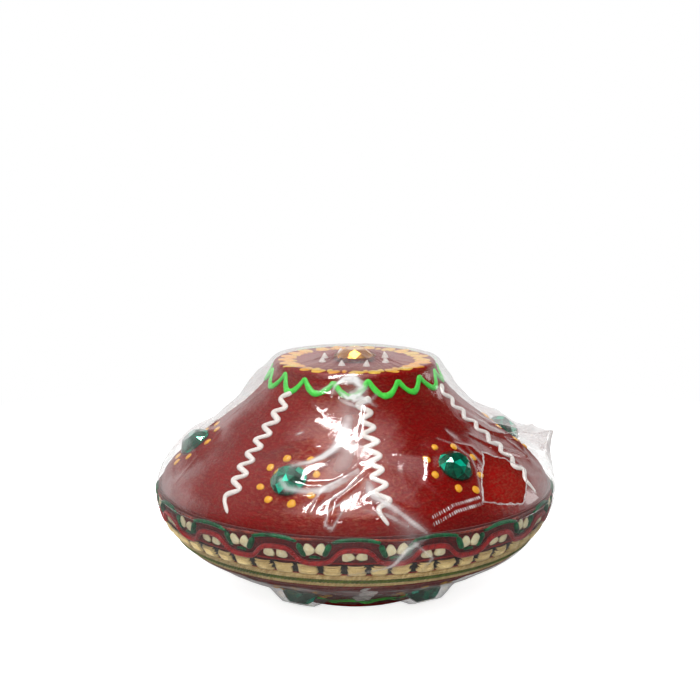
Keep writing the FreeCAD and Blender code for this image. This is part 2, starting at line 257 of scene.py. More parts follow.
def sweep(centres, outs, section, closed=False, tone=0.5):
    """A solid swept along centres. The section gives (across, out) offsets."""
    count = len(centres)
    if closed:
        tangents = np.roll(centres, -1, axis=0) - np.roll(centres, 1, axis=0)
    else:
        tangents = np.gradient(centres, axis=0)
    tangents /= np.linalg.norm(tangents, axis=1)[:, None]
    across = np.cross(tangents, outs)
    across /= np.linalg.norm(across, axis=1)[:, None]
    outs = np.cross(across, tangents)
    section = np.broadcast_to(section, (count,) + section.shape[-2:])
    sides = section.shape[1]
    verts = (centres[:, None] + across[:, None] * section[..., :1]
             + outs[:, None] * section[..., 1:])
    quads = grid_quads(count, sides, wrap_rows=closed, wrap_columns=True)
    tone = np.repeat(np.broadcast_to(tone, count), sides)
    if closed:
        return Shape(verts, quads, tone=tone)
    ends = np.stack([centres[0], centres[-1]])
    ring = np.arange(sides)
    last = count * sides
    tris = np.concatenate([fan(last, ring), fan(last + 1, last - sides + ring, reverse=True)])
    return Shape(np.concatenate([verts.reshape(-1, 3), ends]), quads, tris,
                 np.concatenate([tone, tone[:1], tone[-1:]]))


def round_section(half_width, half_height, sides=10, rise=0.0, floor=-1.0):
    """An oval section, per station when the sizes are arrays."""
    angles = np.linspace(0, 2 * math.pi, sides, endpoint=False)
    half_width, half_height = np.asarray(half_width), np.asarray(half_height)
    across = half_width[..., None] * np.cos(angles)
    out = half_height[..., None] * np.maximum(np.sin(angles), floor) + rise
    return np.stack(np.broadcast_arrays(across, out), axis=-1)


def blob(half_u, half_v, height, dice, ragged=0.05, sectors=20, rings=5):
    """A drop of paint: a dome with a slightly ragged outline and a flat underside."""
    sink = 0.12
    angles = np.linspace(0, 2 * math.pi, sectors, endpoint=False)
    edge = dice.uniform(-1, 1, sectors)
    edge = 1 + ragged * (edge + np.roll(edge, 1) + np.roll(edge, 2))
    climb = np.linspace(0, math.pi / 2, rings, endpoint=False)
    reach = np.concatenate([[1.0], np.cos(climb)])
    rise = np.concatenate([[-sink], height * np.sin(climb)])
    u = half_u * reach[:, None] * edge * np.cos(angles)
    v = half_v * reach[:, None] * edge * np.sin(angles)
    w = np.broadcast_to(rise[:, None], u.shape)
    verts = np.concatenate([np.stack([u, v, w], axis=-1).reshape(-1, 3),
                            [[0, 0, -sink], [0, 0, height]]])
    ring = np.arange(sectors)
    last = len(verts) - 1
    tris = np.concatenate([fan(last - 1, ring), fan(last, rings * sectors + ring, reverse=True)])
    return Shape(verts, grid_quads(rings + 1, sectors, wrap_columns=True), tris)


def make_piece(name, shapes, materials, body, node, smooth=True, part=None):
    """A mesh object that replaces a node; part gives each face's material."""
    shape = joined(shapes)
    mesh = bpy.data.meshes.new(name)
    sizes = np.concatenate([np.full(len(shape.quads), 4), np.full(len(shape.tris), 3)])
    corners = np.concatenate([shape.quads.ravel(), shape.tris.ravel()])
    mesh.vertices.add(len(shape.verts))
    mesh.vertices.foreach_set("co", (shape.verts * MM).ravel())
    mesh.loops.add(len(corners))
    mesh.loops.foreach_set("vertex_index", corners)
    mesh.polygons.add(len(sizes))
    mesh.polygons.foreach_set("loop_start", np.concatenate([[0], np.cumsum(sizes)[:-1]]))
    if part is not None:
        mesh.polygons.foreach_set("material_index", np.asarray(part, np.int32))
    tone = mesh.attributes.new("tone", "FLOAT", "POINT")
    tone.data.foreach_set("value", shape.tone.astype(np.float32))
    mesh.update(calc_edges=True)
    mesh.validate()
    for material in materials:
        mesh.materials.append(material)
    work = bmesh.new()
    work.from_mesh(mesh)
    bmesh.ops.recalc_face_normals(work, faces=work.faces)
    work.to_mesh(mesh)
    work.free()
    mesh.polygons.foreach_set("use_smooth", np.full(len(mesh.polygons), smooth))
    piece = bpy.data.objects.new(name, mesh)
    bpy.context.scene.collection.objects.link(piece)
    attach(piece, body)
    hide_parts(node)


# --- materials ------------------------------------------------------------------

def add_node(tree, kind, inputs=None, **settings):
    """A new node whose inputs are values or links to other nodes' outputs."""
    node = tree.nodes.new(kind)
    for key, value in settings.items():
        setattr(node, key, value)
    for key, value in (inputs or {}).items():
        if isinstance(value, bpy.types.NodeSocket):
            tree.links.new(value, node.inputs[key])
        else:
            node.inputs[key].default_value = value
    return node


class Material:
    """A node material under construction, with short ways to add nodes."""

    def __init__(self, name):
        self.data = bpy.data.materials.new(name)
        self.data.use_nodes = True
        self.tree = self.data.node_tree
        self.tree.nodes.clear()
        self.place = self.add("ShaderNodeTexCoord").outputs["Object"]
        self.tone = self.add("ShaderNodeAttribute", attribute_name="tone").outputs["Fac"]

    def add(self, kind, inputs=None, **settings):
        return add_node(self.tree, kind, inputs, **settings)

    def noise(self, size, stretch=(1, 1, 1), detail=3.0):
        """Noise whose features are about size mm, longer along stretched axes."""
        scale = tuple(1 / (size * MM * s) for s in stretch)
        mapped = self.add("ShaderNodeMapping", {"Vector": self.place, "Scale": scale})
        inputs = {"Vector": mapped.outputs["Vector"], "Scale": 1.0, "Detail": detail}
        return self.add("ShaderNodeTexNoise", inputs).outputs["Fac"]

    def ramp(self, value, low, high, to_low=0.0, to_high=1.0):
        inputs = {"Value": value, "From Min": low, "From Max": high,
                  "To Min": to_low, "To Max": to_high}
        return self.add("ShaderNodeMapRange", inputs).outputs["Result"]

    def math(self, operation, a, b=0.0):
        return self.add("ShaderNodeMath", {0: a, 1: b}, operation=operation).outputs[0]

    def mix(self, factor, a, b):
        """A colour between a and b; the node's colour sockets are 6, 7 and output 2."""
        return self.add("ShaderNodeMix", {0: factor, 6: a, 7: b}, data_type="RGBA").outputs[2]

    def bump(self, height, distance, strength):
        inputs = {"Height": height, "Distance": distance * MM, "Strength": strength}
        return self.add("ShaderNodeBump", inputs).outputs["Normal"]

    def finish(self, **inputs):
        names = {key.replace("_", " "): value for key, value in inputs.items()}
        return self.output(self.add("ShaderNodeBsdfPrincipled", names).outputs[0])

    def output(self, shader):
        self.add("ShaderNodeOutputMaterial", {"Surface": shader})
        return self.data


def rgb(red, green, blue):
    return (red, green, blue, 1.0)


def painted_clay():
    """Brushed satin red over terracotta; tone is 1 on the paint and 0 on bare clay."""
    m = Material("red_painted_clay")
    strokes = m.noise(0.55, stretch=(6, 6, 1), detail=4)
    canvas = m.noise(0.62, stretch=(1.8, 1.8, 1), detail=3)
    patches = m.noise(9, detail=2)
    worn = m.noise(1.2, detail=5)
    red = m.mix(m.ramp(patches, 0.35, 0.7), rgb(0.225, 0.0003, 0.0003), rgb(0.18, 0.0006, 0.0006))
    red = m.mix(m.ramp(strokes, 0.45, 0.75, 0, 0.6), red, rgb(0.13, 0.001, 0.001))
    red = m.mix(m.ramp(canvas, 0.5, 0.7, 0, 0.5), red, rgb(0.12, 0.004, 0.002))
    clay = m.mix(m.ramp(worn, 0.3, 0.7), rgb(0.42, 0.17, 0.085), rgb(0.30, 0.10, 0.05))
    edge = m.math("ADD", m.tone, m.ramp(worn, 0.35, 0.65, -0.22, 0.22))
    paint = m.ramp(edge, 0.45, 0.55)
    relief = m.math("ADD", m.math("MULTIPLY", strokes, 0.8), canvas)
    satin = m.ramp(canvas, 0.3, 0.7, 0.16, 0.36)
    normal = m.bump(relief, 0.32, 0.9)
    body = m.add("ShaderNodeBsdfPrincipled", {
        "Base Color": m.mix(paint, clay, red), "Roughness": 0.9, "Specular IOR Level": 0.05,
        "Normal": normal}).outputs[0]
    glint = m.add("ShaderNodeBsdfAnisotropic", {
        "Color": rgb(1.0, 0.46, 0.26), "Roughness": satin, "Normal": normal}).outputs[0]
    share = m.math("MULTIPLY", m.ramp(paint, 0, 1, 0.005, 0.042),
                   m.ramp(canvas, 0.35, 0.65, 0.4, 1.7))
    return m.output(m.add("ShaderNodeMixShader", {0: share, 1: body, 2: glint}).outputs[0])


def raised_paint(name, colour, dark):
    """Acrylic squeezed from a liner tube: soft sheen, small dents and dust."""
    m = Material(name)
    cloudy = m.noise(1.6, detail=3)
    fine = m.noise(0.25, detail=2)
    return m.finish(
        Base_Color=m.mix(m.ramp(cloudy, 0.35, 0.75), colour, dark),
        Roughness=m.ramp(fine, 0.3, 0.7, 0.32, 0.48),
        Normal=m.bump(m.math("ADD", cloudy, m.math("MULTIPLY", fine, 0.3)), 0.12, 0.6))


def petal_paint():
    """Petals brushed wet in wet: tone runs from yellow to orange."""
    m = Material("petal_paint")
    mixed = m.noise(0.9, detail=4)
    strokes = m.noise(0.3, stretch=(3, 3, 1), detail=3)
    factor = m.math("ADD", m.tone, m.ramp(mixed, 0.3, 0.7, -0.4, 0.4))
    colour = m.mix(m.ramp(factor, 0.3, 0.8), rgb(0.72, 0.47, 0.04), rgb(0.78, 0.32, 0.008))
    green = m.mix(m.ramp(mixed, 0.62, 0.72, 0, 0.6), colour, rgb(0.45, 0.55, 0.15))
    return m.finish(Base_Color=green, Roughness=m.ramp(strokes, 0.3, 0.7, 0.35, 0.55),
                    Normal=m.bump(strokes, 0.15, 0.7))


def acrylic(name, deep, bright, painted_flash, metallic, coat):
    """A foil-backed faceted stone: the light each facet throws back from its foil is painted into its
    colour, deep, bright or flashing by the facet's random tone.
    """
    m = Material(name)
    inner = m.noise(1.4, detail=1)
    # painted light: facets go from deep to bright by their tone, and the highest-toned ones get the
    # painted flash
    colour = m.mix(m.ramp(m.tone, 0.0, 0.8), deep, bright)
    colour = m.mix(m.ramp(m.tone, 0.82, 0.9), colour, painted_flash)
    colour = m.mix(m.ramp(inner, 0.45, 0.7, 0, 0.5), colour, deep)
    scratches = m.noise(0.15, stretch=(6, 1, 1), detail=2)
    return m.finish(Base_Color=colour, Metallic=metallic, Roughness=0.16, Coat_Weight=coat,
                    Coat_Roughness=0.04, Coat_IOR=1.5, Normal=m.bump(scratches, 0.01, 0.4))


def copper_foil():
    m = Material("copper_foil")
    crumple = m.noise(0.8, detail=4)
    colour = m.mix(m.ramp(crumple, 0.35, 0.7), rgb(0.62, 0.30, 0.07), rgb(0.34, 0.13, 0.03))
    return m.finish(Base_Color=colour, Metallic=1.0, Roughness=m.ramp(crumple, 0.3, 0.7, 0.2, 0.4),
                    Normal=m.bump(crumple, 0.25, 0.8))


def thread(name, colour, dark, roughness, metallic=0.0):
    """Spun thread: fine fibres, a slight sheen, and a tone for each strand."""
    m = Material(name)
    fibres = m.noise(0.09, stretch=(3, 3, 1), detail=3)
    cloudy = m.noise(2.2, detail=2)
    shade = m.math("ADD", m.math("MULTIPLY", fibres, 0.5),
                   m.math("ADD", m.math("MULTIPLY", cloudy, 0.3), m.math("MULTIPLY", m.tone, 0.4)))
    return m.finish(
        Base_Color=m.mix(m.ramp(shade, 0.35, 0.85), dark, colour),
        Metallic=metallic, Roughness=m.ramp(fibres, 0.3, 0.7, roughness - 0.1, roughness + 0.12),
        Sheen_Weight=0.3, Sheen_Roughness=0.4, Normal=m.bump(fibres, 0.06, 0.9))


def ribbon():
    """Woven red ribbon: crossing rows of warp and weft. Its dark red is partly its own colour and
    partly painted shade for the gaps in the embroidery on it.
    """
    m = Material("red_ribbon")
    weft = m.noise(0.16, stretch=(5, 5, 1), detail=2)
    warp = m.noise(0.30, stretch=(1, 1, 6), detail=2)
    weave = m.math("ADD", weft, m.math("MULTIPLY", warp, 0.6))
    # the near-black end of the weave is painted shade as well as the ribbon's own dark red
    colour = m.mix(m.ramp(weave, 0.6, 1.0), rgb(0.03, 0.001, 0.002), rgb(0.19, 0.006, 0.009))
    return m.finish(Base_Color=colour, Roughness=0.62, Sheen_Weight=0.3,
                    Sheen_Tint=rgb(1.0, 0.5, 0.4), Normal=m.bump(weave, 0.12, 0.9))


def sequin():
    m = Material("cream_sequin")
    pearly = m.noise(0.9, detail=2)
    ribs = m.noise(0.22, stretch=(1, 1, 3), detail=1)
    colour = m.mix(m.ramp(pearly, 0.3, 0.7), rgb(1.0, 0.95, 0.66), rgb(0.95, 0.80, 0.46))
    # painted shade: brown at the narrow end, where the pair meets, and on the underside
    colour = m.mix(m.ramp(m.tone, 0.0, 0.25), rgb(0.30, 0.20, 0.08), colour)
    return m.finish(Base_Color=colour, Metallic=0.25, Roughness=0.28, Coat_Weight=0.6,
                    Coat_Roughness=0.15, Normal=m.bump(ribs, 0.08, 0.8))


def cotton():
    m = Material("cotton")
    fibres = m.noise(0.12, stretch=(2, 2, 5), detail=4)
    tufts = m.noise(1.5, detail=4)
    colour = m.mix(m.ramp(tufts, 0.3, 0.7), rgb(0.84, 0.81, 0.74), rgb(0.70, 0.66, 0.56))
    return m.finish(Base_Color=colour, Roughness=0.95, Sheen_Weight=0.5,
                    Subsurface_Weight=0.2, Subsurface_Scale=0.002,
                    Normal=m.bump(m.math("ADD", fibres, tufts), 0.3, 0.9))


def clear_film(name, gloss):
    """Clear shrink film. Tone is how cloudy it is, and a tone above 0.25 also makes it glow white, a
    painted highlight; its inner face only lets light by.
    """
    m = Material(name)
    see_through = m.add("ShaderNodeBsdfTransparent").outputs[0]
    if not gloss:
        return m.output(see_through)
    crackle = m.noise(1.1, detail=5)
    fine = m.noise(0.35, detail=2)
    uneven = m.noise(7, detail=3)
    normal = m.bump(m.math("ADD", crackle, m.math("MULTIPLY", fine, 0.2)), 0.05, 0.6)
    facing = m.add("ShaderNodeLayerWeight", {"Blend": 0.5, "Normal": normal}).outputs["Facing"]
    grazing = m.math("POWER", facing, 3.0)
    cloud = m.math("MULTIPLY", m.tone, m.ramp(uneven, 0.3, 0.7, 0.6, 1.4))
    cloud = m.math("MULTIPLY", cloud, m.ramp(grazing, 0, 1, 1.0, 4.0))
    lit = m.add("ShaderNodeBsdfDiffuse", {"Color": rgb(0.9, 0.88, 0.87)}).outputs[0]
    glowing = m.add("ShaderNodeBsdfTranslucent", {"Color": rgb(0.9, 0.88, 0.87)}).outputs[0]
    white = m.add("ShaderNodeMixShader", {0: 0.5, 1: lit, 2: glowing}).outputs[0]
    # painted highlight: a white glow mixed in where the tone is high
    sheen = m.add("ShaderNodeEmission", {"Color": rgb(1, 1, 1), "Strength": 1.0}).outputs[0]
    stretched = m.ramp(m.tone, 0.25, 0.7, 0.0, 0.75)
    white = m.add("ShaderNodeMixShader", {0: stretched, 1: white, 2: sheen}).outputs[0]
    body = m.add("ShaderNodeMixShader", {0: cloud, 1: see_through, 2: white}).outputs[0]
    shine = m.add("ShaderNodeBsdfAnisotropic", {"Roughness": 0.07, "Normal": normal}).outputs[0]
    mirror = m.add("ShaderNodeFresnel", {"IOR": 1.5, "Normal": normal}).outputs[0]
    mirror = m.math("MINIMUM", m.math("MULTIPLY", mirror, 1.8), m.ramp(m.tone, 0.1, 0.4, 0.33, 0.22))
    return m.output(m.add("ShaderNodeMixShader", {0: mirror, 1: body, 2: shine}).outputs[0])


# --- clay bowls -----------------------------------------------------------------

CENTRE_RADIUS = 0.4         # of the last ring before a bowl's middle

def turned_bowl(name, wall, node, foot_height, material, body, seed):
    """A hand-turned bowl: wobbly outer side, worn rim, hollow with a rounded floor."""
    columns = 480
    azimuths = circle(columns)
    rim_height = wall.outline[0, 1]
    foot_radius, foot_edge = wall.outline[-1]
    upright = foot_height < rim_height
    inner = side_outline(node, -1)
    inner = smooth_curve(inner[::-1] if upright else inner, 60)

    rings, paint = [], []
    for run in np.linspace(0, wall.length, 190):
        strokes = 0.05 * soft_noise(azimuths, run, 9, 0.7, seed)
        wobble = 0.12 * soft_noise(azimuths, run, 45, 12, seed + 1)
        rings.append(wall.point(azimuths, run, strokes + wobble - 0.05))
        paint.append(1.0 if run > 0.3 else 0.45)
    for share in (0.97, 0.75, 0.5, 0.25):
        dents = 0.04 * soft_noise(azimuths, share * 9, 30, 2, seed + 2)
        inwards = np.sign(rim_height - foot_height)
        rings.append(around(azimuths, foot_radius * share, foot_edge + inwards * (0.05 + dents)))
    rings.append(around(azimuths, CENTRE_RADIUS, foot_edge))
    outer_rings = len(rings)
    foot_paint = 0.15 if upright else 1.0
    paint += [foot_paint] * (outer_rings - len(paint))
    for radius, height in inner:
        turning = 0.08 * soft_noise(azimuths, height, 60, 1.1, seed + 3)
        rings.append(around(azimuths, radius + turning, height))
    floor_height = inner[-1, 1]
    rings.append(around(azimuths, CENTRE_RADIUS, floor_height))

    ring = np.arange(columns)
    after = np.roll(ring, -1)
    start, end = outer_rings * columns, len(rings) * columns
    quads = np.concatenate([
        grid_quads(outer_rings, columns, wrap_columns=True),
        grid_quads(len(rings) - outer_rings, columns, wrap_columns=True) + start,
        np.stack([ring, after, start + after, start + ring], axis=-1)])
    tris = np.concatenate([fan(end, start - columns + ring), fan(end + 1, end - columns + ring)])
    verts = np.concatenate(rings + [[[0, 0, foot_edge], [0, 0, floor_height]]])
    tone = np.concatenate([np.repeat(paint, columns), np.zeros(end - start), [foot_paint, 0.0]])
    make_piece(name, [Shape(verts, quads, tris, tone)], [material], body, node)


# --- paint, stones and disc -----------------------------------------------------

# Runs give (end near the rim, end near the neck); leans are half the azimuth between them.
UPPER_ZIGZAG_RUNS = (8.0, 44.2)
UPPER_ZIGZAG_LEANS = (4.0, -1.2, 4.2, 1.5, -2.5, 2.0)
UPPER_TAIL_RUN = 3.2
UPPER_SCALLOP_RUNS = (44.6, 48.9)
LOWER_ZIGZAG_RUNS = (23.0, 41.6)
LOWER_ZIGZAG_LEANS = (2.0, -1.5, 2.5, 1.0, -2.0, 1.5)
LOWER_TAIL_RUN = 19.5
LOWER_SCALLOP_RUNS = (43.2, 46.0)
ZIGZAG_PITCH = 4.6
ZIGZAG_HALF_SWING = 1.75
SCALLOPS = 17
FIRST_CUSP = 8.0            # azimuth of the first point between two hanging arcs
GEM_RADIUS = 5.0
GEM_HEIGHT = 3.0
GLUE_HEIGHT = 0.12
DOTS_PER_GEM = 8
DOT_RING_RADIUS = 8.0
DOT_RADIUS = 1.12
PETALS = 24
PEAKS = 8
PEAK_RING_RADIUS = 10.0

def paint_line(wall, azimuths, runs, half_width, height, dice):
    """A raised line of paint along a path on the wall, blunt and rounded at its ends."""
    count = len(azimuths)
    centres = wall.point(azimuths, runs)
    length = np.linalg.norm(np.diff(centres, axis=0), axis=1).sum()
    along = np.linspace(0, length, count)
    spots = np.arange(0, length + 2, 1.3)
    uneven = 1 + 0.14 * np.interp(along, spots, dice.uniform(-1, 1, len(spots)))
    ends = np.clip(np.minimum(along, length - along) / 0.6, 0.02, 1)
    taper = np.sqrt(ends * (2 - ends))
    section = round_section(half_width * uneven * taper, height * uneven * taper,
                            sides=12, floor=-0.25)
    return sweep(centres, wall.outward(azimuths, runs), section)


def zigzag(wall, top, bottom, tail_run, dice):
    """A wavy zigzag between two (azimuth, run) ends, with a straight tail to the rim."""
    count = int(abs(top[1] - bottom[1]) / ZIGZAG_PITCH * 2)
    share = np.linspace(0, 1, count + 1)
    runs = bottom[1] + (top[1] - bottom[1]) * share + dice.uniform(-0.2, 0.2, count + 1)
    swing = np.where(np.arange(count + 1) % 2, 1, -1) * ZIGZAG_HALF_SWING
    swing = swing * dice.uniform(0.8, 1.15, count + 1)
    azimuths = bottom[0] + (top[0] - bottom[0]) * share + wall.degrees(swing, runs)
    lean = (bottom[0] - top[0]) / max(abs(top[1] - bottom[1]), 1)
    tail = bottom[0] + lean * (bottom[1] - tail_run)
    corners = np.column_stack([np.concatenate([[tail], azimuths]),
                               np.concatenate([[tail_run], runs])])
    to_mm = [math.radians(1) * wall.station(20)[0], 1]
    path = smooth_curve(corners * to_mm, count * 16) / to_mm
    width = np.interp(path[:, 1], [tail_run, tail_run + 4.5], [0.42, 0.80])
    return paint_line(wall, path[:, 0], path[:, 1], width, 0.70 * width, dice)


def zigzags(name, wall, node, runs, tail_run, leans, material, body, seed):
    """One zigzag where the frame has each of a node's."""
    dice = np.random.default_rng(seed)
    shapes = []
    for azimuth, lean in zip(group_azimuths(node), leans):
        top, bottom = (azimuth - lean, runs[1]), (azimuth + lean, runs[0])
        shapes.append(zigzag(wall, top, bottom, tail_run, dice))
    make_piece(name, shapes, [material], body, node)


def garland(name, wall, node, runs, material, body, seed):
    """Hanging arcs of paint that meet in upward points around a bowl's neck."""
    dice = np.random.default_rng(seed)
    cusps = FIRST_CUSP + np.arange(SCALLOPS) * FULL_TURN / SCALLOPS
    cusps = cusps + dice.uniform(-1.8, 1.8, SCALLOPS)
    cusps = np.append(cusps, cusps[0] + FULL_TURN)
    tops = runs[1] + dice.uniform(-0.5, 0.5, SCALLOPS)
    tops = np.append(tops, tops[0])
    shapes = []
    for k in range(SCALLOPS):
        t = np.linspace(-1.03, 1.03, 60)
        low = runs[0] + dice.uniform(-0.5, 0.5)
        top = np.where(t < 0, tops[k], tops[k + 1])
        path = low + (top - low) * np.abs(t) ** 2.1
        middle, half = (cusps[k] + cusps[k + 1]) / 2, (cusps[k + 1] - cusps[k]) / 2
        azimuths = middle + half * (0.88 * t + 0.12 * t**3)
        width = 0.95 - 0.22 * np.abs(t) ** 1.5
        shapes.append(paint_line(wall, azimuths, path, width, 0.5, dice))
    make_piece(name, shapes, [material], body, node)


def dot_rings(name, wall, node, gems, material, body, seed):
    """Eight dots of paint around each stone."""
    dice = np.random.default_rng(seed)
    shapes = []
    for azimuth, gem_run in gems:
        turn = dice.uniform(0, 12)
        for share in (np.arange(DOTS_PER_GEM) + 0.5) / DOTS_PER_GEM:
            angle = math.radians(turn + FULL_TURN * share + dice.uniform(-5, 5))
            reach = DOT_RING_RADIUS + dice.uniform(-0.6, 0.5)
            run = gem_run + reach * math.cos(angle)
            drop = blob(DOT_RADIUS * dice.uniform(0.9, 1.12), DOT_RADIUS * dice.uniform(0.9, 1.12),
                        0.42 * dice.uniform(0.8, 1.2), dice)
            spot = azimuth + float(wall.degrees(reach * math.sin(angle), run))
            shapes.append(wall.laid(drop, spot, run, dice.uniform(0, 180)))
    make_piece(name, shapes, [material], body, node)


def brilliant(radius, height, base, dice):
    """A flat-backed stone with a brilliant-cut crown; tone, random from facet to facet, picks each
    facet's painted light.
    """
    girdle = 0.22 * height
    table_share, middle_share = 0.50, 0.76
    step = 2 * math.pi / 8
    slope = (height - girdle) / (1 - table_share)
    middle_height = base + height - (middle_share * math.cos(step / 2) - table_share) * slope

    def corner(share, angle, rise):
        return [radius * share * math.cos(angle), radius * share * math.sin(angle), rise]

    faces = []
    table = [corner(table_share, k * step, base + height) for k in range(8)]
    middle = [corner(middle_share, (k + 0.5) * step, middle_height) for k in range(8)]
    upper = [corner(1.0, k * step / 2, base + girdle) for k in range(16)]
    lower = [corner(1.0, k * step / 2, base) for k in range(16)]
    top, under = [0, 0, base + height], [0, 0, base]
    for k in range(8):
        after, before = (k + 1) % 8, (k - 1) % 8
        faces.append([top, table[k], table[after]])
        faces.append([table[k], middle[k], table[after]])
        faces.append([table[k], middle[before], upper[2 * k], middle[k]])
        faces.append([middle[k], upper[2 * k], upper[2 * k + 1]])
        faces.append([middle[k], upper[2 * k + 1], upper[(2 * k + 2) % 16]])
    for k in range(16):
        after = (k + 1) % 16
        faces.append([upper[k], lower[k], lower[after], upper[after]])
        faces.append([under, lower[after], lower[k]])
    shapes = []
    for face in faces:
        index = [list(range(len(face)))]
        quads, tris = (index, None) if len(face) == 4 else (None, index)
        shapes.append(Shape(face, quads, tris, dice.uniform(0, 1)))
    return joined(shapes)


def stones(name, wall, node, gems, material, body, seed):
    """A glued stone at each (azimuth, run)."""
    dice = np.random.default_rng(seed)
    shapes = []
    for azimuth, run in gems:
        stone = brilliant(GEM_RADIUS, GEM_HEIGHT, GLUE_HEIGHT, dice)
        shapes.append(wall.laid(stone, azimuth, run, dice.uniform(0, 45)))
    make_piece(name, shapes, [material], body, node, smooth=False)


def moved(shape, offset, turn=0.0):
    """A shape turned about its own up axis, then moved."""
    angle = math.radians(turn)
    x = shape.verts[:, 0] * math.cos(angle) - shape.verts[:, 1] * math.sin(angle)
    y = shape.verts[:, 0] * math.sin(angle) + shape.verts[:, 1] * math.cos(angle)
    verts = np.column_stack([x, y, shape.verts[:, 2]]) + offset
    return Shape(verts, shape.quads, shape.tris, shape.tone)


def petal_border(radius, top, material):
    """Petals brushed around the disc's edge, some of them double."""
    dice = np.random.default_rng(41)
    shapes = []
    for k in range(PETALS):
        azimuth = FULL_TURN / PETALS * k + dice.uniform(-2, 2)
        for layer, reach in ((0, 3.3), (1, 4.6)):
            drop = blob(1.8 * dice.uniform(0.8, 1.15), 2.7 * dice.uniform(0.75, 1.1),
                        0.32 * dice.uniform(0.8, 1.3), dice, ragged=0.09, sectors=24)
            if layer:
                drop = blob(0.8, 1.5 * dice.uniform(0.8, 1.2), 0.45, dice, ragged=0.12)
            drop.tone = np.full(len(drop.verts), dice.uniform(0.0, 1.0))
            spot = azimuth + (7.5 if layer else 0) + dice.uniform(-1, 1)
            centre = around(np.array(spot), radius - reach, top)
            shapes.append(moved(drop, centre, spot + dice.uniform(-12, 12)))
    make_piece("petal_border_paint", shapes, [material], "cover", "top_petal_border")


def paint_peaks(top, material):
    """Small drops of white paint drawn up to a point."""
    dice = np.random.default_rng(43)
    shapes = []
    for azimuth in FULL_TURN * (np.arange(PEAKS) + 0.5) / PEAKS:
        height = 1.8 * dice.uniform(0.85, 1.1)
        climb = np.linspace(0, 1, 9)
        centres = np.stack([0.25 * climb**2 * dice.uniform(-1, 1), 0.25 * climb**2,
                            -0.1 + (height + 0.1) * climb], axis=-1)
        half = 1.05 * (1 - climb) ** 0.9 + 0.05
        outs = np.tile([0.0, 1.0, 0.0], (len(climb), 1))
        drop = sweep(centres, outs, round_section(half, half, sides=14))
        centre = around(np.array(azimuth + dice.uniform(-4, 4)),
                        PEAK_RING_RADIUS + dice.uniform(-0.8, 0.8), top)
        shapes.append(moved(drop, centre, dice.uniform(0, FULL_TURN)))
    make_piece("white_paint_peaks", shapes, [material], "cover", "top_white_peaks")


def foil_cup(top, radius, material):
    """A pressed foil cup with a crimped rim."""
    angles = circle(192)
    crimps = np.cos(np.radians(angles * 32))
    rows = [(0.2, 0.02, 0), (radius - 0.9, 0.02, 0), (radius - 0.1, 0.35, 0.05),
            (radius + 0.05, 1.3, 0.18), (radius + 0.3, 1.36, 0.25), (radius + 0.25, 1.15, 0.2),
            (radius + 0.1, 0.3, 0.05), (radius - 0.5, -0.02, 0), (0.2, -0.02, 0)]
    rings = [around(angles, r + crimp * crimps, top + 0.06 + z) for r, z, crimp in rows]
    shape = Shape(np.concatenate(rings),
                  grid_quads(len(rows), len(angles), wrap_rows=True, wrap_columns=True))
    make_piece("copper_foil_cup", [shape], [material], "cover", "top_foil_cup")


# --- lace trim ------------------------------------------------------------------

LACE_BASE = 0.56            # lift of whatever lies on the tape
LACE_LIP = 0.6              # how far the tape stands above the rim
LACE_WIDTH = 18.0
RIB_PITCH = 0.62
REPEATS = 17                # of the trim's pattern around the rim
REPEAT_ANGLE = FULL_TURN / REPEATS
BLOCKS = 56
BEADS = 230                 # on the cord along the upper edge
CORD_STEPS = 1900           # stations along each cord

# Runs of the trim's rows, from its upper edge down.
TOP_CORD_RUN = 0.25
UPPER_PETAL_RUN = 3.1
LOWER_PETAL_RUN = 4.7
WAVE_RUN = 4.75
WAVE_SWING = 2.0
BLOCK_RUNS = (7.45, 10.75)
BAR_RUNS = (7.5, 10.9)
UPPER_BRAID_RUN = 12.2
OLIVE_TWIST_RUN = 13.8
LOWER_BRAID_RUN = 15.4
RED_EDGE_RUN = 17.3
SEAM_RUNS = (6.9, 11.35, 16.4)


def twisted_cord(wall, run, lift, radius, twist_length, strands=2, wander=0.0, seed=0):
    """Strands twisted into a cord that runs all the way around."""
    azimuths = circle(CORD_STEPS)
    run = np.broadcast_to(run, azimuths.shape) + wander * soft_noise(azimuths, 0.0, 8, 1, seed)
    length = 2 * math.pi * float(np.mean(wall.station(run)[0]))
    turns = round(length / twist_length)
    shapes = []
    for strand in range(strands):
        phase = np.radians(azimuths) * turns + 2 * math.pi * strand / strands
        centres = wall.point(azimuths, run + 0.5 * radius * np.cos(phase),
                             lift + 0.5 * radius * np.sin(phase))
        tone = 0.5 + 0.35 * soft_noise(azimuths, strand * 3.0, 1.5, 1, seed + 5)
        shapes.append(sweep(centres, wall.outward(azimuths, run),
                            round_section(0.56 * radius, 0.56 * radius, sides=6),
                            closed=True, tone=tone))
    return joined(shapes)


def satin_stroke(wall, azimuths, runs, lift, half_width, height, stitch, dice):
    """Satin stitches laid side by side over a padded line, tapered at both ends."""
    centres = wall.point(azimuths, runs, lift)
    steps = np.linalg.norm(np.diff(centres, axis=0), axis=1)
    along = np.concatenate([[0.0], np.cumsum(steps)])
    ends = np.clip(np.minimum(along, along[-1] - along) / (1.5 * half_width), 0.03, 1)
    taper = np.sqrt(ends * (2 - ends))
    angles = np.linspace(0, 2 * math.pi, 14, endpoint=False)
    slant = along[:, None] + 0.35 * half_width * np.cos(angles)
    ridge = 1 + 0.16 * (np.abs(np.sin(math.pi * slant / stitch)) - 0.5)
    across = half_width * taper[:, None] * ridge * np.cos(angles)
    out = height * taper[:, None] * ridge * np.maximum(np.sin(angles), -0.4)
    spots = np.arange(0, along[-1] + 2, stitch)
    tone = 0.5 + 0.5 * np.interp(along, spots, dice.uniform(-1, 1, len(spots)))
    return sweep(centres, wall.outward(azimuths, runs), np.stack([across, out], axis=-1),
                 tone=tone)


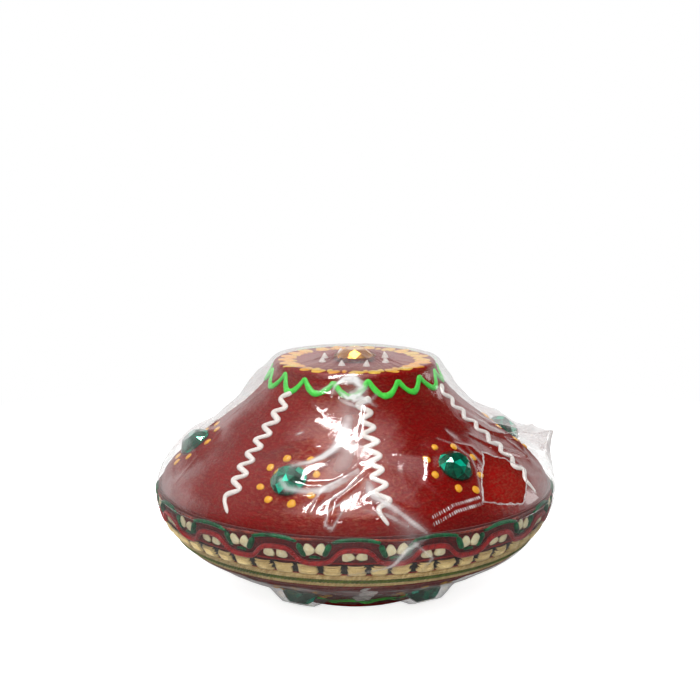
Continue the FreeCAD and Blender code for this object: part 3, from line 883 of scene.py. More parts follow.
def lace_tape(wall, material, thread_material):
    """The woven ribbon that carries the embroidery, with three rows of stitches."""
    columns = 1100
    azimuths = circle(columns)
    runs = np.linspace(-LACE_LIP, LACE_WIDTH, 90)
    rings = []
    for run in runs:
        ribs = 0.05 * math.sin(run * 2 * math.pi / RIB_PITCH)
        rings.append(wall.point(azimuths, run, 0.5 + ribs
                                + 0.04 * soft_noise(azimuths, run, 1.2, 0.8, 51)))
    for run in runs[::-1]:
        rings.append(wall.point(azimuths, run, 0.06))
    tape = Shape(np.concatenate(rings),
                 grid_quads(len(rings), columns, wrap_rows=True, wrap_columns=True))
    seams = joined([
        twisted_cord(wall, run, LACE_BASE + 0.1, 0.24, 1.1, wander=0.12, seed=52 + k)
        for k, run in enumerate(SEAM_RUNS)])
    shape = joined([tape, seams])
    part = np.concatenate([np.zeros(len(tape.quads)), np.ones(len(seams.quads))])
    make_piece("lace_ribbon", [shape], [material, thread_material], "base", "lace_tape", part=part)


def lace_top_cord(wall, material):
    """A beaded cord along the upper edge."""
    azimuths = circle(4000)
    beads = np.abs(np.sin(np.radians(azimuths) * BEADS / 2))
    half = 0.18 + 0.22 * np.sqrt(beads)
    run = TOP_CORD_RUN + 0.15 * soft_noise(azimuths, 0.0, 5, 1, 61)
    tone = 0.5 + 0.5 * soft_noise(azimuths, 2.0, 2.4, 1, 62)
    shape = sweep(wall.point(azimuths, run, LACE_BASE + 0.32), wall.outward(azimuths, run),
                  round_section(half, half, sides=8), closed=True, tone=tone)
    make_piece("lace_beaded_cord", [shape], [material], "base", "lace_top_cord")


def lace_arcs(wall, material):
    """Flat green satin arcs along the upper edge."""
    dice = np.random.default_rng(63)
    shapes = []
    for k in range(REPEATS):
        t = np.linspace(-1, 1, 90)
        half = REPEAT_ANGLE * 0.30 * dice.uniform(0.92, 1.05)
        azimuths = k * REPEAT_ANGLE + half * t + dice.uniform(-0.3, 0.3)
        runs = 0.9 * t**2 + dice.uniform(-0.12, 0.12)
        shapes.append(satin_stroke(wall, azimuths, runs, LACE_BASE + 0.4, 0.50, 0.62, 0.42, dice))
    make_piece("lace_green_satin_arcs", shapes, [material], "base", "lace_green_arcs")


def lace_wave(wall, material):
    """The red satin cord that waves between the sequins."""
    azimuths = circle(CORD_STEPS)
    phase = np.radians(azimuths) * REPEATS
    wave = np.tanh(1.7 * np.cos(phase)) / math.tanh(1.7)
    run = WAVE_RUN - WAVE_SWING * wave + 0.12 * soft_noise(azimuths, 0.0, 4, 1, 71)
    lift = LACE_BASE + 0.53 - 0.121 * wave
    shape = twisted_cord(wall, run, lift, 0.74, 1.7, strands=3, seed=72)
    make_piece("lace_red_wave", [shape], [material], "base", "lace_red_wave_cord")


def sequin_petal(dice):
    """A pale fan-shaped petal with raised ribs, narrow end towards -u."""
    rows, columns = 13, 15
    reach = np.linspace(0, 1, rows)[:, None]
    fan = np.linspace(-1, 1, columns)[None, :]
    length = 3.2 * dice.uniform(0.9, 1.08)
    width = 1.55 * dice.uniform(0.85, 1.1) * np.sin(np.clip(reach * 1.9 + 0.12, 0, 2.75))
    u = length * (reach - 0.5) - 0.35 * fan**2 * reach
    v = width * fan
    ribs = 0.07 * np.cos(fan * 3 * math.pi)
    w = 0.35 + (0.42 + ribs) * (1 - fan**2) * np.sin(math.pi * np.clip(reach, 0.04, 0.97))
    top = np.stack(np.broadcast_arrays(u, v, w), axis=-1)
    under = top.copy()
    under[..., 2] = 0.0
    verts = np.concatenate([top.reshape(-1, 3), under.reshape(-1, 3)])
    quads = grid_quads(rows, columns)
    base = rows * columns
    border = ([j for j in range(columns)]
              + [i * columns + columns - 1 for i in range(1, rows)]
              + [(rows - 1) * columns + j for j in range(columns - 2, -1, -1)]
              + [i * columns for i in range(rows - 2, 0, -1)])
    border = np.array(border)
    after = np.roll(border, -1)
    walls = np.stack([border, after, base + after, base + border], axis=-1)
    # tone: 0 at the narrow end and underneath, for the material's painted shade
    tone = np.concatenate([np.clip(np.broadcast_to(reach * 1.5, (rows, columns)), 0, 1).ravel(),
                           np.zeros(base)])
    return Shape(verts, np.concatenate([quads, quads[:, ::-1] + base, walls]), tone=tone)


def lace_petals(wall, material):
    """Two staggered rows of petal pairs."""
    dice = np.random.default_rng(81)
    shapes = []
    rows = ((LOWER_PETAL_RUN, 0.0, 1.6), (UPPER_PETAL_RUN, REPEAT_ANGLE / 2, 1.45))
    for run, offset, gap in rows:
        for k in range(REPEATS):
            middle = k * REPEAT_ANGLE + offset + dice.uniform(-0.3, 0.3)
            for side in (-1, 1):
                lean = dice.uniform(-14, 14) + (0 if side > 0 else 180) + side * -18
                petal = sequin_petal(dice)
                petal.verts[:, 2] += LACE_BASE
                spot = middle + side * float(wall.degrees(gap, run))
                shapes.append(wall.laid(petal, spot, run + dice.uniform(-0.2, 0.2), lean))
    make_piece("lace_cream_sequins", shapes, [material], "base", "lace_cream_petals")


def lace_leaves(wall, material):
    """Green satin leaves on both sides of a sequin pair, with a small knot below."""
    dice = np.random.default_rng(91)
    shapes = []
    for k in range(REPEATS):
        middle = (k + 0.5) * REPEAT_ANGLE
        for side in (-1, 1):
            t = np.linspace(0, 1, 34)
            spread = side * (4.3 - 1.9 * t) * dice.uniform(0.95, 1.05)
            runs = 1.3 + 3.5 * t + dice.uniform(-0.2, 0.2)
            azimuths = middle + wall.degrees(spread, runs)
            shapes.append(satin_stroke(wall, azimuths, runs, LACE_BASE + 0.2, 0.80, 0.75, 0.4, dice))
        t = np.linspace(-1, 1, 24)
        runs = 5.15 + 0.25 * t**2
        azimuths = middle + wall.degrees(1.5 * t, runs)
        shapes.append(satin_stroke(wall, azimuths, runs, LACE_BASE + 0.1, 0.42, 0.35, 0.4, dice))
        for side in (-1, 1):
            t = np.linspace(0, 1, 22)
            runs = 6.1 - 0.9 * t
            azimuths = k * REPEAT_ANGLE + wall.degrees(side * (1.0 + 1.9 * t), runs)
            shapes.append(satin_stroke(wall, azimuths, runs, LACE_BASE + 0.1, 0.38, 0.35, 0.4, dice))
    make_piece("lace_green_satin_leaves", shapes, [material], "base", "lace_green_leaves")


def thread_rows(wall, middle, runs, half_length, ragged, lift, bulge, dice):
    """Threads laid side by side between two runs, in a padded block, the middle rows toned lighter as
    a painted highlight on the block's crown.
    """
    count = 7
    shapes = []
    pitch = (runs[1] - runs[0]) / count
    for k in range(count):
        run = runs[0] + pitch * (k + 0.5) + dice.uniform(-0.04, 0.04)
        t = np.linspace(-1, 1, 11)
        left = half_length + dice.uniform(-ragged, ragged)
        right = half_length + dice.uniform(-ragged, ragged)
        spread = np.where(t < 0, left, right) * t
        crown = math.sin(math.pi * (k + 0.7) / (count + 0.4)) ** 0.5
        rise = lift + bulge * (1 - t**4) * crown
        thickness = 0.56 * pitch * np.clip((1.02 - np.abs(t)) * 6, 0.15, 1)
        azimuths = middle + wall.degrees(spread, run)
        # tone: higher on the middle rows, a painted highlight along the crown, plus a random share
        shapes.append(sweep(wall.point(azimuths, run, rise), wall.outward(azimuths, run + 0 * t),
                            round_section(thickness, thickness, sides=6),
                            tone=0.15 + 0.6 * crown + dice.uniform(-0.15, 0.25)))
    return shapes


def lace_blocks(wall, gold, black):
    """Blocks of gold thread, and the dark threads in the gaps between them."""
    dice = np.random.default_rng(101)
    blocks, bars = [], []
    for k in range(BLOCKS):
        middle = FULL_TURN * k / BLOCKS + dice.uniform(-0.35, 0.35)
        half = 2.42 * dice.uniform(0.88, 1.10)
        blocks += thread_rows(wall, middle, BLOCK_RUNS, half, 0.42, LACE_BASE + 0.25, 0.85, dice)
        gap = middle + FULL_TURN / BLOCKS / 2
        bars += thread_rows(wall, gap, BAR_RUNS, 1.25, 0.3, LACE_BASE + 0.05, 0.12, dice)
    make_piece("lace_gold_thread_blocks", blocks, [gold], "base", "lace_gold_blocks")
    make_piece("lace_black_threads", bars, [black], "base", "lace_black_bars")


def lace_cords(wall, gold, olive, maroon):
    """Two gold braids with an olive twist between them, and the thin red edge."""
    for name, run, seed in (("upper", UPPER_BRAID_RUN, 111), ("lower", LOWER_BRAID_RUN, 113)):
        pair = [twisted_cord(wall, run + side * 0.42, LACE_BASE + 0.42, 0.44, 1.35,
                             wander=0.08, seed=seed + side) for side in (-1, 1)]
        make_piece(f"lace_{name}_gold_braid", pair, [gold], "base", f"lace_{name}_gold_cord")
    cord = twisted_cord(wall, OLIVE_TWIST_RUN, LACE_BASE + 0.5, 0.62, 2.1, wander=0.08, seed=117)
    make_piece("lace_olive_twist", [cord], [olive], "base", "lace_olive_cord")
    edge = twisted_cord(wall, RED_EDGE_RUN, LACE_BASE + 0.35, 0.45, 1.3, wander=0.15, seed=119)
    make_piece("lace_red_edge", [edge], [maroon], "base", "lace_red_edge_cord")


# --- wick -----------------------------------------------------------------------

def cotton_wick(material):
    """A cotton flower wick: a lobed fibrous pad with a twisted upright stem."""
    low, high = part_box("cotton_wick")
    base, tip = low.z / MM, high.z / MM
    pad = high.x / MM
    profile = np.array([(0.3, 0.0), (0.9, 0.0), (1.0, 0.05), (0.92, 0.13), (0.55, 0.17),
                        (0.32, 0.22), (0.2, 0.33), (0.18, 0.6), (0.19, 0.8), (0.2, 0.9),
                        (0.06, 0.995)]) * [pad, tip - base]
    outline = smooth_curve(profile, 110)
    azimuths = circle(160)
    rings = []
    for radius, height in outline:
        flare = np.clip((radius - 2) / 5, 0, 1)
        lobes = 1 - 0.10 * flare * np.abs(np.sin(np.radians(azimuths) * 4))
        twist = 1 + 0.12 * (1 - flare) * np.cos(np.radians(azimuths * 3) + height * 1.4)
        tufts = 1 + 0.03 * soft_noise(azimuths, height, 9, 0.6, 121)
        rings.append(around(azimuths, radius * lobes * twist * tufts, base + height))
    columns = len(azimuths)
    ring = np.arange(columns)
    last = len(rings) * columns
    tris = np.concatenate([fan(last, ring), fan(last + 1, last - columns + ring, reverse=True)])
    shape = Shape(np.concatenate(rings + [[[0, 0, base], [0, 0, tip]]]),
                  grid_quads(len(rings), columns, wrap_columns=True), tris)
    make_piece("cotton_flower_wick", [shape], [material], "wick", "cotton_wick")


# --- shrink film ----------------------------------------------------------------

FILM_THICKNESS = 0.07
GEM_TENT_HEIGHT = 3.5       # film over a stone of the cover
EAR_AZIMUTH = 88            # the gathered corner of film on the right
HOLE_WOBBLE = 0.22          # of the tear's edge

TORN_HOLE = np.array([(48.5, 19.2), (57, 15.7), (62.5, 10.3), (56.5, 5.9), (51, 2.7),
                      (43.5, 3.8), (36.5, 5.6), (41, 13)])
UPPER_FOLDS = [
    # (height, half width, [(azimuth, run), ...])
    (0.7, 1.3, [(-21, 13.4), (-13.5, 12.0), (-4.5, 13.8)]),
    (0.35, 0.7, [(1, 19.5), (-9, 12.1), (-11.5, 5.9)]),
    (0.35, 0.7, [(5, 18.5), (-5.5, 9.2), (-6, 2.2)]),
    (0.5, 1.2, [(8, 46), (5.5, 38), (3, 30)]),
    (0.6, 1.3, [(5.5, 10), (7, 5), (14, 1)]),
    (0.5, 1.0, [(17.5, 3.5), (11, 7), (4, 9)]),
    (0.4, 0.8, [(37, 24), (44, 21), (48, 13), (44, 4)]),
    (0.35, 0.7, [(26, 22), (22, 14), (26, 8)]),
    (0.6, 1.0, [(52, 25), (60, 18), (70, 12)]),
    (0.5, 0.9, [(60, 32), (70, 22), (80, 16)]),
]
UPPER_PAINTED_HIGHLIGHTS = [
    # painted highlights, where the film turns white and glows: (amount, half width, [(azimuth, run),
    # ...])
    (0.80, 1.2, [(-3.5, 36.5), (-5.5, 31), (-8, 26.5), (-12, 22.4)]),
    (0.75, 0.8, [(-8, 26.5), (-11.5, 22.5), (-15, 19.8), (-20, 18)]),
    (0.80, 0.75, [(-22, 13.2), (-19.5, 11), (-13.5, 10.8), (-7.5, 12.2), (1, 18.6)]),
    (0.60, 0.35, [(1, 19.5), (-4, 16), (-9, 12.1), (-11.3, 9), (-11.5, 5.5)]),
    (0.55, 0.35, [(2.5, 17.5), (-3.5, 12), (-10, 7)]),
    (0.55, 0.32, [(-0.5, 11), (-7, 6), (-7.5, 3), (-5.7, 2.2), (-2, 8.3)]),
    (0.34, 3.0, [(-1, 35), (-2, 28), (-4, 21), (-7, 15)]),
    (0.16, 3.0, [(1, 47), (-3, 41), (-4, 35)]),
    (0.85, 0.5, [(-13, 44), (-12, 47), (-7, 49.5), (-1, 50), (5, 48.5)]),
    (0.90, 0.9, [(-7, 48.6), (0, 48.8), (4, 46.8), (1, 45.2)]),
    (0.75, 0.5, [(-9, 45.2), (-4, 43), (2, 44), (7, 46)]),
    (0.85, 0.7, [(-2, 44.6), (0, 42.4), (6, 43)]),
    (0.60, 0.45, [(-8, 42.5), (0, 40.5), (7, 41.5), (12, 44)]),
    (0.55, 0.4, [(-21, 44.5), (-15, 47), (-12, 48.6)]),
    (0.60, 0.5, [(2, 44), (7, 42), (11, 40.5)]),
    (0.75, 1.2, [(4, 15), (4.5, 11.5), (7, 9), (10.5, 6.2)]),
    (0.60, 0.45, [(9, 7.5), (14, 3.6), (18, 1)]),
    (0.45, 0.5, [(2.5, 6.5), (8, 5), (13, 2.6)]),
    (0.25, 2.4, [(11, 4), (16, 0.5)]),
    (0.35, 0.35, [(34, 27), (38, 22.5), (40.5, 18), (38.8, 12), (36.5, 5.6)]),
    (0.28, 0.35, [(42, 21.5), (43, 15), (37.5, 6)]),
    (0.55, 0.4, [(-25, 30), (-22.6, 31)]),
    (0.60, 3.2, [(84, 19), (90, 12), (93, 7)]),
    (0.30, 0.6, [(67, 34), (74, 24), (79, 16), (80, 9)]),
    (0.30, 0.5, [(74, 33), (80, 24), (85, 15)]),
]
# film cloudiness around the axis: partly its own haze, partly painted reflection of the light,
# cloudier on the left, at the limbs and at the back than on the clear front right
CLOUD_AZIMUTHS = [-180, -100, -78, -45, -20, 4, 13, 25, 60, 75, 90, 120, 180]
CLOUD_AND_REFLECTION_AMOUNTS = [.06, .05, .035, .022, .02, .03, .012, .002, .003, .02, .045, .06, .06]
# painted highlights on the lower film, as above
LOWER_PAINTED_HIGHLIGHTS = [
    (0.30, 2.2, [(15, -1), (12.5, 3), (9, 7)]),
    (0.50, 0.4, [(18, 0), (13, 2.4), (10, 6.5), (-2, 9.8)]),
    (0.40, 0.4, [(15, 1), (20, 5), (18, 9)]),
]
LOWER_FOLDS = [
    (0.5, 1.0, [(14, 0), (10.5, 2.4), (8, 6.7), (-2.5, 9.7)]),
    (0.5, 0.9, [(14, 1.5), (20, 5), (18, 9)]),
    (0.4, 0.8, [(-60, 2), (-48, 6), (-40, 5)]),
]


def smooth_max(a, b, width):
    """The larger of two fields, with a rounded change-over."""
    blend = np.clip(0.5 + 0.5 * (a - b) / width, 0, 1)
    return b + (a - b) * blend + width * blend * (1 - blend)


def fold_lift(wall, azimuth, run, height, half_width, corners):
    """How far a fold along a polyline of (azimuth, run) corners lifts the film; the same shape gives
    the amount of each painted highlight stroke.
    """
    nearest = np.full(azimuth.shape, np.inf)
    share = np.zeros(azimuth.shape)
    per_degree = math.radians(1) * wall.station(run)[0]
    for k, (a, b) in enumerate(zip(corners, corners[1:])):
        u, v = away(azimuth, a[0]) * per_degree, run - a[1]
        du, dv = away(np.array(float(b[0])), a[0]) * per_degree, b[1] - a[1]
        t = np.clip((u * du + v * dv) / (du * du + dv * dv), 0, 1)
        distance = np.hypot(u - t * du, v - t * dv)
        closer = distance < nearest
        nearest = np.where(closer, distance, nearest)
        share = np.where(closer, (k + t) / (len(corners) - 1), share)
    fade = np.sin(math.pi * np.clip(share, 0.06, 0.94)) ** 0.5
    return height * fade * np.exp(-(nearest / half_width) ** 2)


def upper_film_lift(wall, azimuth, run, gems):
    """The film's height above the cover's side: taut between stones, belt and disc."""
    base = np.interp(run, [0, 5, 12, 22, 34, 44, 49, wall.length],
                     [2.3, 2.2, 1.7, 1.2, 1.5, 2.5, 1.9, 0.9])
    base = base * (1 + 0.25 * soft_noise(azimuth, run, 30, 14, 201))
    left = np.exp(-(away(azimuth, -90) / 45) ** 2)
    base = base * (1 + left * np.interp(run, [16, 27, 40, 50], [-0.5, 0.7, 0.4, -0.2]))
    lift = base
    for gem in gems:
        distance = wall.distance(azimuth, run, gem)
        bearing = np.degrees(np.arctan2(run - gem[1], away(azimuth, gem[0])))
        spokes = soft_noise(bearing, 0.0, 24, 1, 203)
        tent = GEM_TENT_HEIGHT - np.maximum(distance - 4.6, 0) * (0.24 + 0.09 * spokes)
        lift = smooth_max(tent, lift, 0.5)
    ear = np.exp(-(away(azimuth, EAR_AZIMUTH) / 9.0) ** 2) * np.exp(-((run - 11.0) / 4.2) ** 2)
    shoulder = np.exp(-(away(azimuth, 80) / 13.0) ** 2) * np.exp(-((run - 16) / 8.0) ** 2)
    lift = lift + 5.8 * ear + 0.9 * shoulder
    crumple = np.clip(ear + shoulder, 0, 1)
    return lift + crumple * 1.9 * creases(azimuth + 1.5 * run, run, 9, 6, 205)


def film_wrinkles(azimuth, run, strength, seed):
    """Creases of a shrunk film: radial puckers, crossing folds and fine crackle."""
    puckers = creases(azimuth, run, 5.5, 16, seed)
    crossing = creases(azimuth + 1.6 * run, run, 16, 11, seed + 1)
    leaning = creases(azimuth - 1.1 * run, run, 13, 14, seed + 2)
    dents = soft_noise(azimuth, run, 9, 7, seed + 3)
    crackle = soft_noise(azimuth, run, 2.2, 1.8, seed + 4)
    return strength * (0.10 * puckers + 0.16 * crossing + 0.13 * leaning + 0.10 * dents
                       + 0.012 * crackle)


def inside_polygon(u, v, polygon):
    """Which points lie inside a polygon."""
    inside = np.zeros(u.shape, bool)
    for (u1, v1), (u2, v2) in zip(polygon, np.roll(polygon, -1, axis=0)):
        crosses = (v1 > v) != (v2 > v)
        edge_u = (u2 - u1) * (v - v1) / (v2 - v1 + 1e-12) + u1
        inside ^= crosses & (u < edge_u)
    return inside


def nearest_on_polygon(u, v, polygon):
    """The nearest spot on a polygon's edge to each point."""
    best = np.full(u.shape, np.inf)
    spot_u, spot_v = u.copy(), v.copy()
    for (u1, v1), (u2, v2) in zip(polygon, np.roll(polygon, -1, axis=0)):
        t = ((u - u1) * (u2 - u1) + (v - v1) * (v2 - v1)) / ((u2 - u1) ** 2 + (v2 - v1) ** 2)
        t = np.clip(t, 0, 1)
        near_u, near_v = u1 + t * (u2 - u1), v1 + t * (v2 - v1)
        distance = np.hypot(u - near_u, v - near_v)
        closer = distance < best
        best = np.where(closer, distance, best)
        spot_u, spot_v = np.where(closer, near_u, spot_u), np.where(closer, near_v, spot_v)
    return spot_u, spot_v


def ragged_polygon(polygon, step, amount, dice):
    """A polygon with torn, slightly wavy edges."""
    points = []
    for a, b in zip(polygon, np.roll(polygon, -1, axis=0)):
        count = max(2, int(np.hypot(*(b - a)) / step))
        for k in range(count):
            points.append(a + (b - a) * k / count + dice.uniform(-amount, amount, 2) * (k > 0))
    return np.array(points)


def film_shell(points, tone, rows, columns, keep=slice(None)):
    """A thin closed shell from a grid of points: outer face, inner face, edges."""
    quads = grid_quads(rows, columns, wrap_columns=True)[keep]
    grid = points.reshape(rows, columns, 3)
    along = np.gradient(grid, axis=0)
    across = np.roll(grid, -1, axis=1) - np.roll(grid, 1, axis=1)
    normals = np.cross(across, along)
    normals /= np.maximum(np.linalg.norm(normals, axis=2), 1e-9)[..., None]
    outward = np.sign(np.sum(normals * grid, axis=2))[..., None]
    inner = (grid - normals * outward * FILM_THICKNESS).reshape(-1, 3)
    count = len(points)
    edges = np.concatenate([quads[:, [k, (k + 1) % 4]] for k in range(4)])
    keys = np.sort(edges, axis=1)
    _, index, repeats = np.unique(keys, axis=0, return_index=True, return_counts=True)
    border = edges[index[repeats == 1]]
    walls = np.stack([border[:, 1], border[:, 0], border[:, 0] + count, border[:, 1] + count],
                     axis=-1)
    verts = np.concatenate([points, inner])
    all_quads = np.concatenate([quads, quads[:, ::-1] + count, walls])
    used = np.unique(all_quads)
    lookup = np.zeros(len(verts), int)
    lookup[used] = np.arange(len(used))
    part = np.repeat([0, 1], [len(quads), len(quads) + len(walls)])
    shape = Shape(verts[used], lookup[all_quads], tone=np.concatenate([tone, tone])[used])
    return shape, part


def upper_film(wall, gems, materials):
    """The sheet over the cover's side and disc, torn open on the right."""
    columns = 760
    azimuths = circle(columns, -FULL_TURN / 2)
    side_runs = np.linspace(0.15, wall.length, 110)
    azimuth, run = np.meshgrid(azimuths, side_runs)
    dice = np.random.default_rng(211)
    hole = ragged_polygon(TORN_HOLE, 1.1, HOLE_WOBBLE, dice)
    inside = inside_polygon(azimuth, run, hole)
    quads = grid_quads(len(side_runs), columns, wrap_columns=True)
    covered = inside.ravel()[quads].all(axis=1)
    snap_u, snap_v = nearest_on_polygon(azimuth, run, hole)
    azimuth, run = np.where(inside, snap_u, azimuth), np.where(inside, snap_v, run)

    lift = upper_film_lift(wall, azimuth, run, gems)
    calm = np.interp(away(azimuth, 0), [-100, -60, -25, 5, 15, 60, 80], [1, .6, .4, .4, .6, .7, 1.3])
    edge_fade = np.interp(run, [0, 3, 44, wall.length], [0.7, 1, 0.8, 0.3])
    lift = lift + film_wrinkles(azimuth, run, calm * edge_fade, 221)
    for height, half_width, corners in UPPER_FOLDS:
        lift = lift + fold_lift(wall, azimuth, run, height, half_width, corners)
    side = wall.point(azimuth, run, np.maximum(lift, 0.25))

    disc_shares = np.linspace(0, 1, 46)[1:]
    rim_ring = side[-1]
    rim_radius = np.hypot(rim_ring[:, 0], rim_ring[:, 1])
    gem_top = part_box("top_orange_gem")[1].z / MM + 0.25
    disc = []
    for share in disc_shares:
        radius = rim_radius * (1 - share * 0.985)
        taut = np.clip((rim_radius - radius) / (rim_radius - 4.2), 0, 1)
        height = rim_ring[:, 2] * (1 - taut) + gem_top * taut
        sag = 0.8 * np.sin(math.pi * taut) ** 2
        ripple = film_wrinkles(azimuths, share * 23 + 60, 0.3, 231) * np.sin(math.pi * taut)
        disc.append(around(azimuths, radius, height - 0.2 * sag + ripple))
    points = np.concatenate([side.reshape(-1, 3)] + disc)
    rows = len(side_runs) + len(disc_shares)
    keep = np.ones((rows - 1) * columns, bool)
    keep[:len(covered)] = ~covered
    tone = np.tile(np.interp(azimuths, CLOUD_AZIMUTHS, CLOUD_AND_REFLECTION_AMOUNTS), rows)
    # the gathered ear is whiter, as crumpled film is, and where its tone passes 0.25 it also glows as
    # a painted highlight
    ear = np.exp(-(away(azimuth, 86) / 9.0) ** 2 - ((run - 13.0) / 6.0) ** 2).ravel()
    side_count = azimuth.size
    tone[:side_count] += 0.30 * ear * creases(azimuth - run, run, 5, 4, 207).ravel()
    for gem in gems:
        over_gem = np.exp(-(wall.distance(azimuth, run, gem) / 4.8) ** 4).ravel()
        tone[:side_count] *= 1 - 0.75 * over_gem
    # painted highlight strokes raise the tone
    for amount, half_width, corners in UPPER_PAINTED_HIGHLIGHTS:
        tone[:side_count] += fold_lift(wall, azimuth, run, amount, half_width, corners).ravel()
    tone[side_count:] = 0.04
    shape, part = film_shell(points, tone, rows, columns, keep)
    lip = torn_lip(wall, hole, gems)
    part = np.concatenate([part, np.zeros(len(lip.quads))])
    make_piece("shrink_film_upper", [shape, lip], materials, "film_cap", "wrap_film_upper",
               part=part)


def torn_lip(wall, hole, gems):
    """The thickened, curled edge around the tear."""
    azimuth, run = smooth_curve(np.concatenate([hole, hole[:1]]), 420)[:-1].T
    lift = upper_film_lift(wall, azimuth, run, gems)
    lift = lift + film_wrinkles(azimuth, run, 0.65, 221)
    half = 0.09 + 0.10 * np.abs(soft_noise(azimuth, run, 2, 2, 215))
    # tone 0.30 whitens the lip and adds a faint glow, a painted highlight
    return sweep(wall.point(azimuth, run, lift), wall.outward(azimuth, run),
                 round_section(half * 1.8, half, sides=8), closed=True, tone=0.30)


def seal_strip(wall, gems, material):
    """The serrated heat seal: two rows of small pressed ribs on the film."""
    dice = np.random.default_rng(241)
    azimuths = np.linspace(20, 35.5, 23)
    line = np.interp(azimuths, [19, 27, 35.5], [2.9, 5.2, 5.9])
    shapes = []
    for row in (-0.75, 0.75):
        for azimuth, run in zip(azimuths, line + row):
            lift = upper_film_lift(wall, np.array(azimuth), np.array(run), gems)
            rib = blob(0.11, 0.40, 0.12, dice, ragged=0.06, sectors=10, rings=3)
            rib.verts[:, 2] += float(lift) + 0.55
            # a rib's tone above 0.25 also makes it glow, a painted highlight
            rib.tone = np.full(len(rib.verts), dice.uniform(0.15, 0.7))
            shapes.append(wall.laid(rib, azimuth + dice.uniform(-0.1, 0.1), run, 14))
    make_piece("film_heat_seal", shapes, [material], "film_cap", "wrap_film_upper")


def lower_film(wall, gems, materials):
    """The sheet around the lace and the lower bowl, open under the foot."""
    columns = 720
    azimuths = circle(columns, -FULL_TURN / 2)
    runs = np.linspace(0.1, wall.length - 2.2, 96)
    azimuth, run = np.meshgrid(azimuths, runs)
    lift = np.interp(run, [0, 6, 18, 22, 34, wall.length], [2.2, 1.9, 1.6, 0.9, 0.5, 0.4])
    lift = lift * (1 - 0.4 * np.exp(-(away(azimuth, -90) / 45) ** 2))
    for gem in gems:
        distance = wall.distance(azimuth, run, gem)
        lift = smooth_max(3.4 - np.maximum(distance - 4.4, 0) * 0.60, lift, 0.4)
    lift = lift + film_wrinkles(azimuth, run, np.interp(run, [0, 20, 34], [0.7, 0.6, 0.3]), 251)
    for height, half_width, corners in LOWER_FOLDS:
        lift = lift + fold_lift(wall, azimuth, run, height, half_width, corners)
    points = wall.point(azimuth, run, lift).reshape(-1, 3)
    points[:, 2] = np.maximum(points[:, 2], 0.3)
    tone = np.tile(np.interp(azimuths, CLOUD_AZIMUTHS, CLOUD_AND_REFLECTION_AMOUNTS), len(runs))
    # a cloudier band under the lace where the film bridges to the foot: partly its own haze, partly a
    # painted reflection of the floor
    tone += np.interp(run, [16, 21, 30], [0.0, 0.16, 0.05]).ravel()
    # painted highlight strokes raise the tone
    for amount, half_width, corners in LOWER_PAINTED_HIGHLIGHTS:
        tone += fold_lift(wall, azimuth, run, amount, half_width, corners).ravel()
    shape, part = film_shell(points, tone, len(runs), columns)
    make_piece("shrink_film_lower", [shape], materials, "base", "wrap_film_lower", part=part)


# --- build ----------------------------------------------------------------------

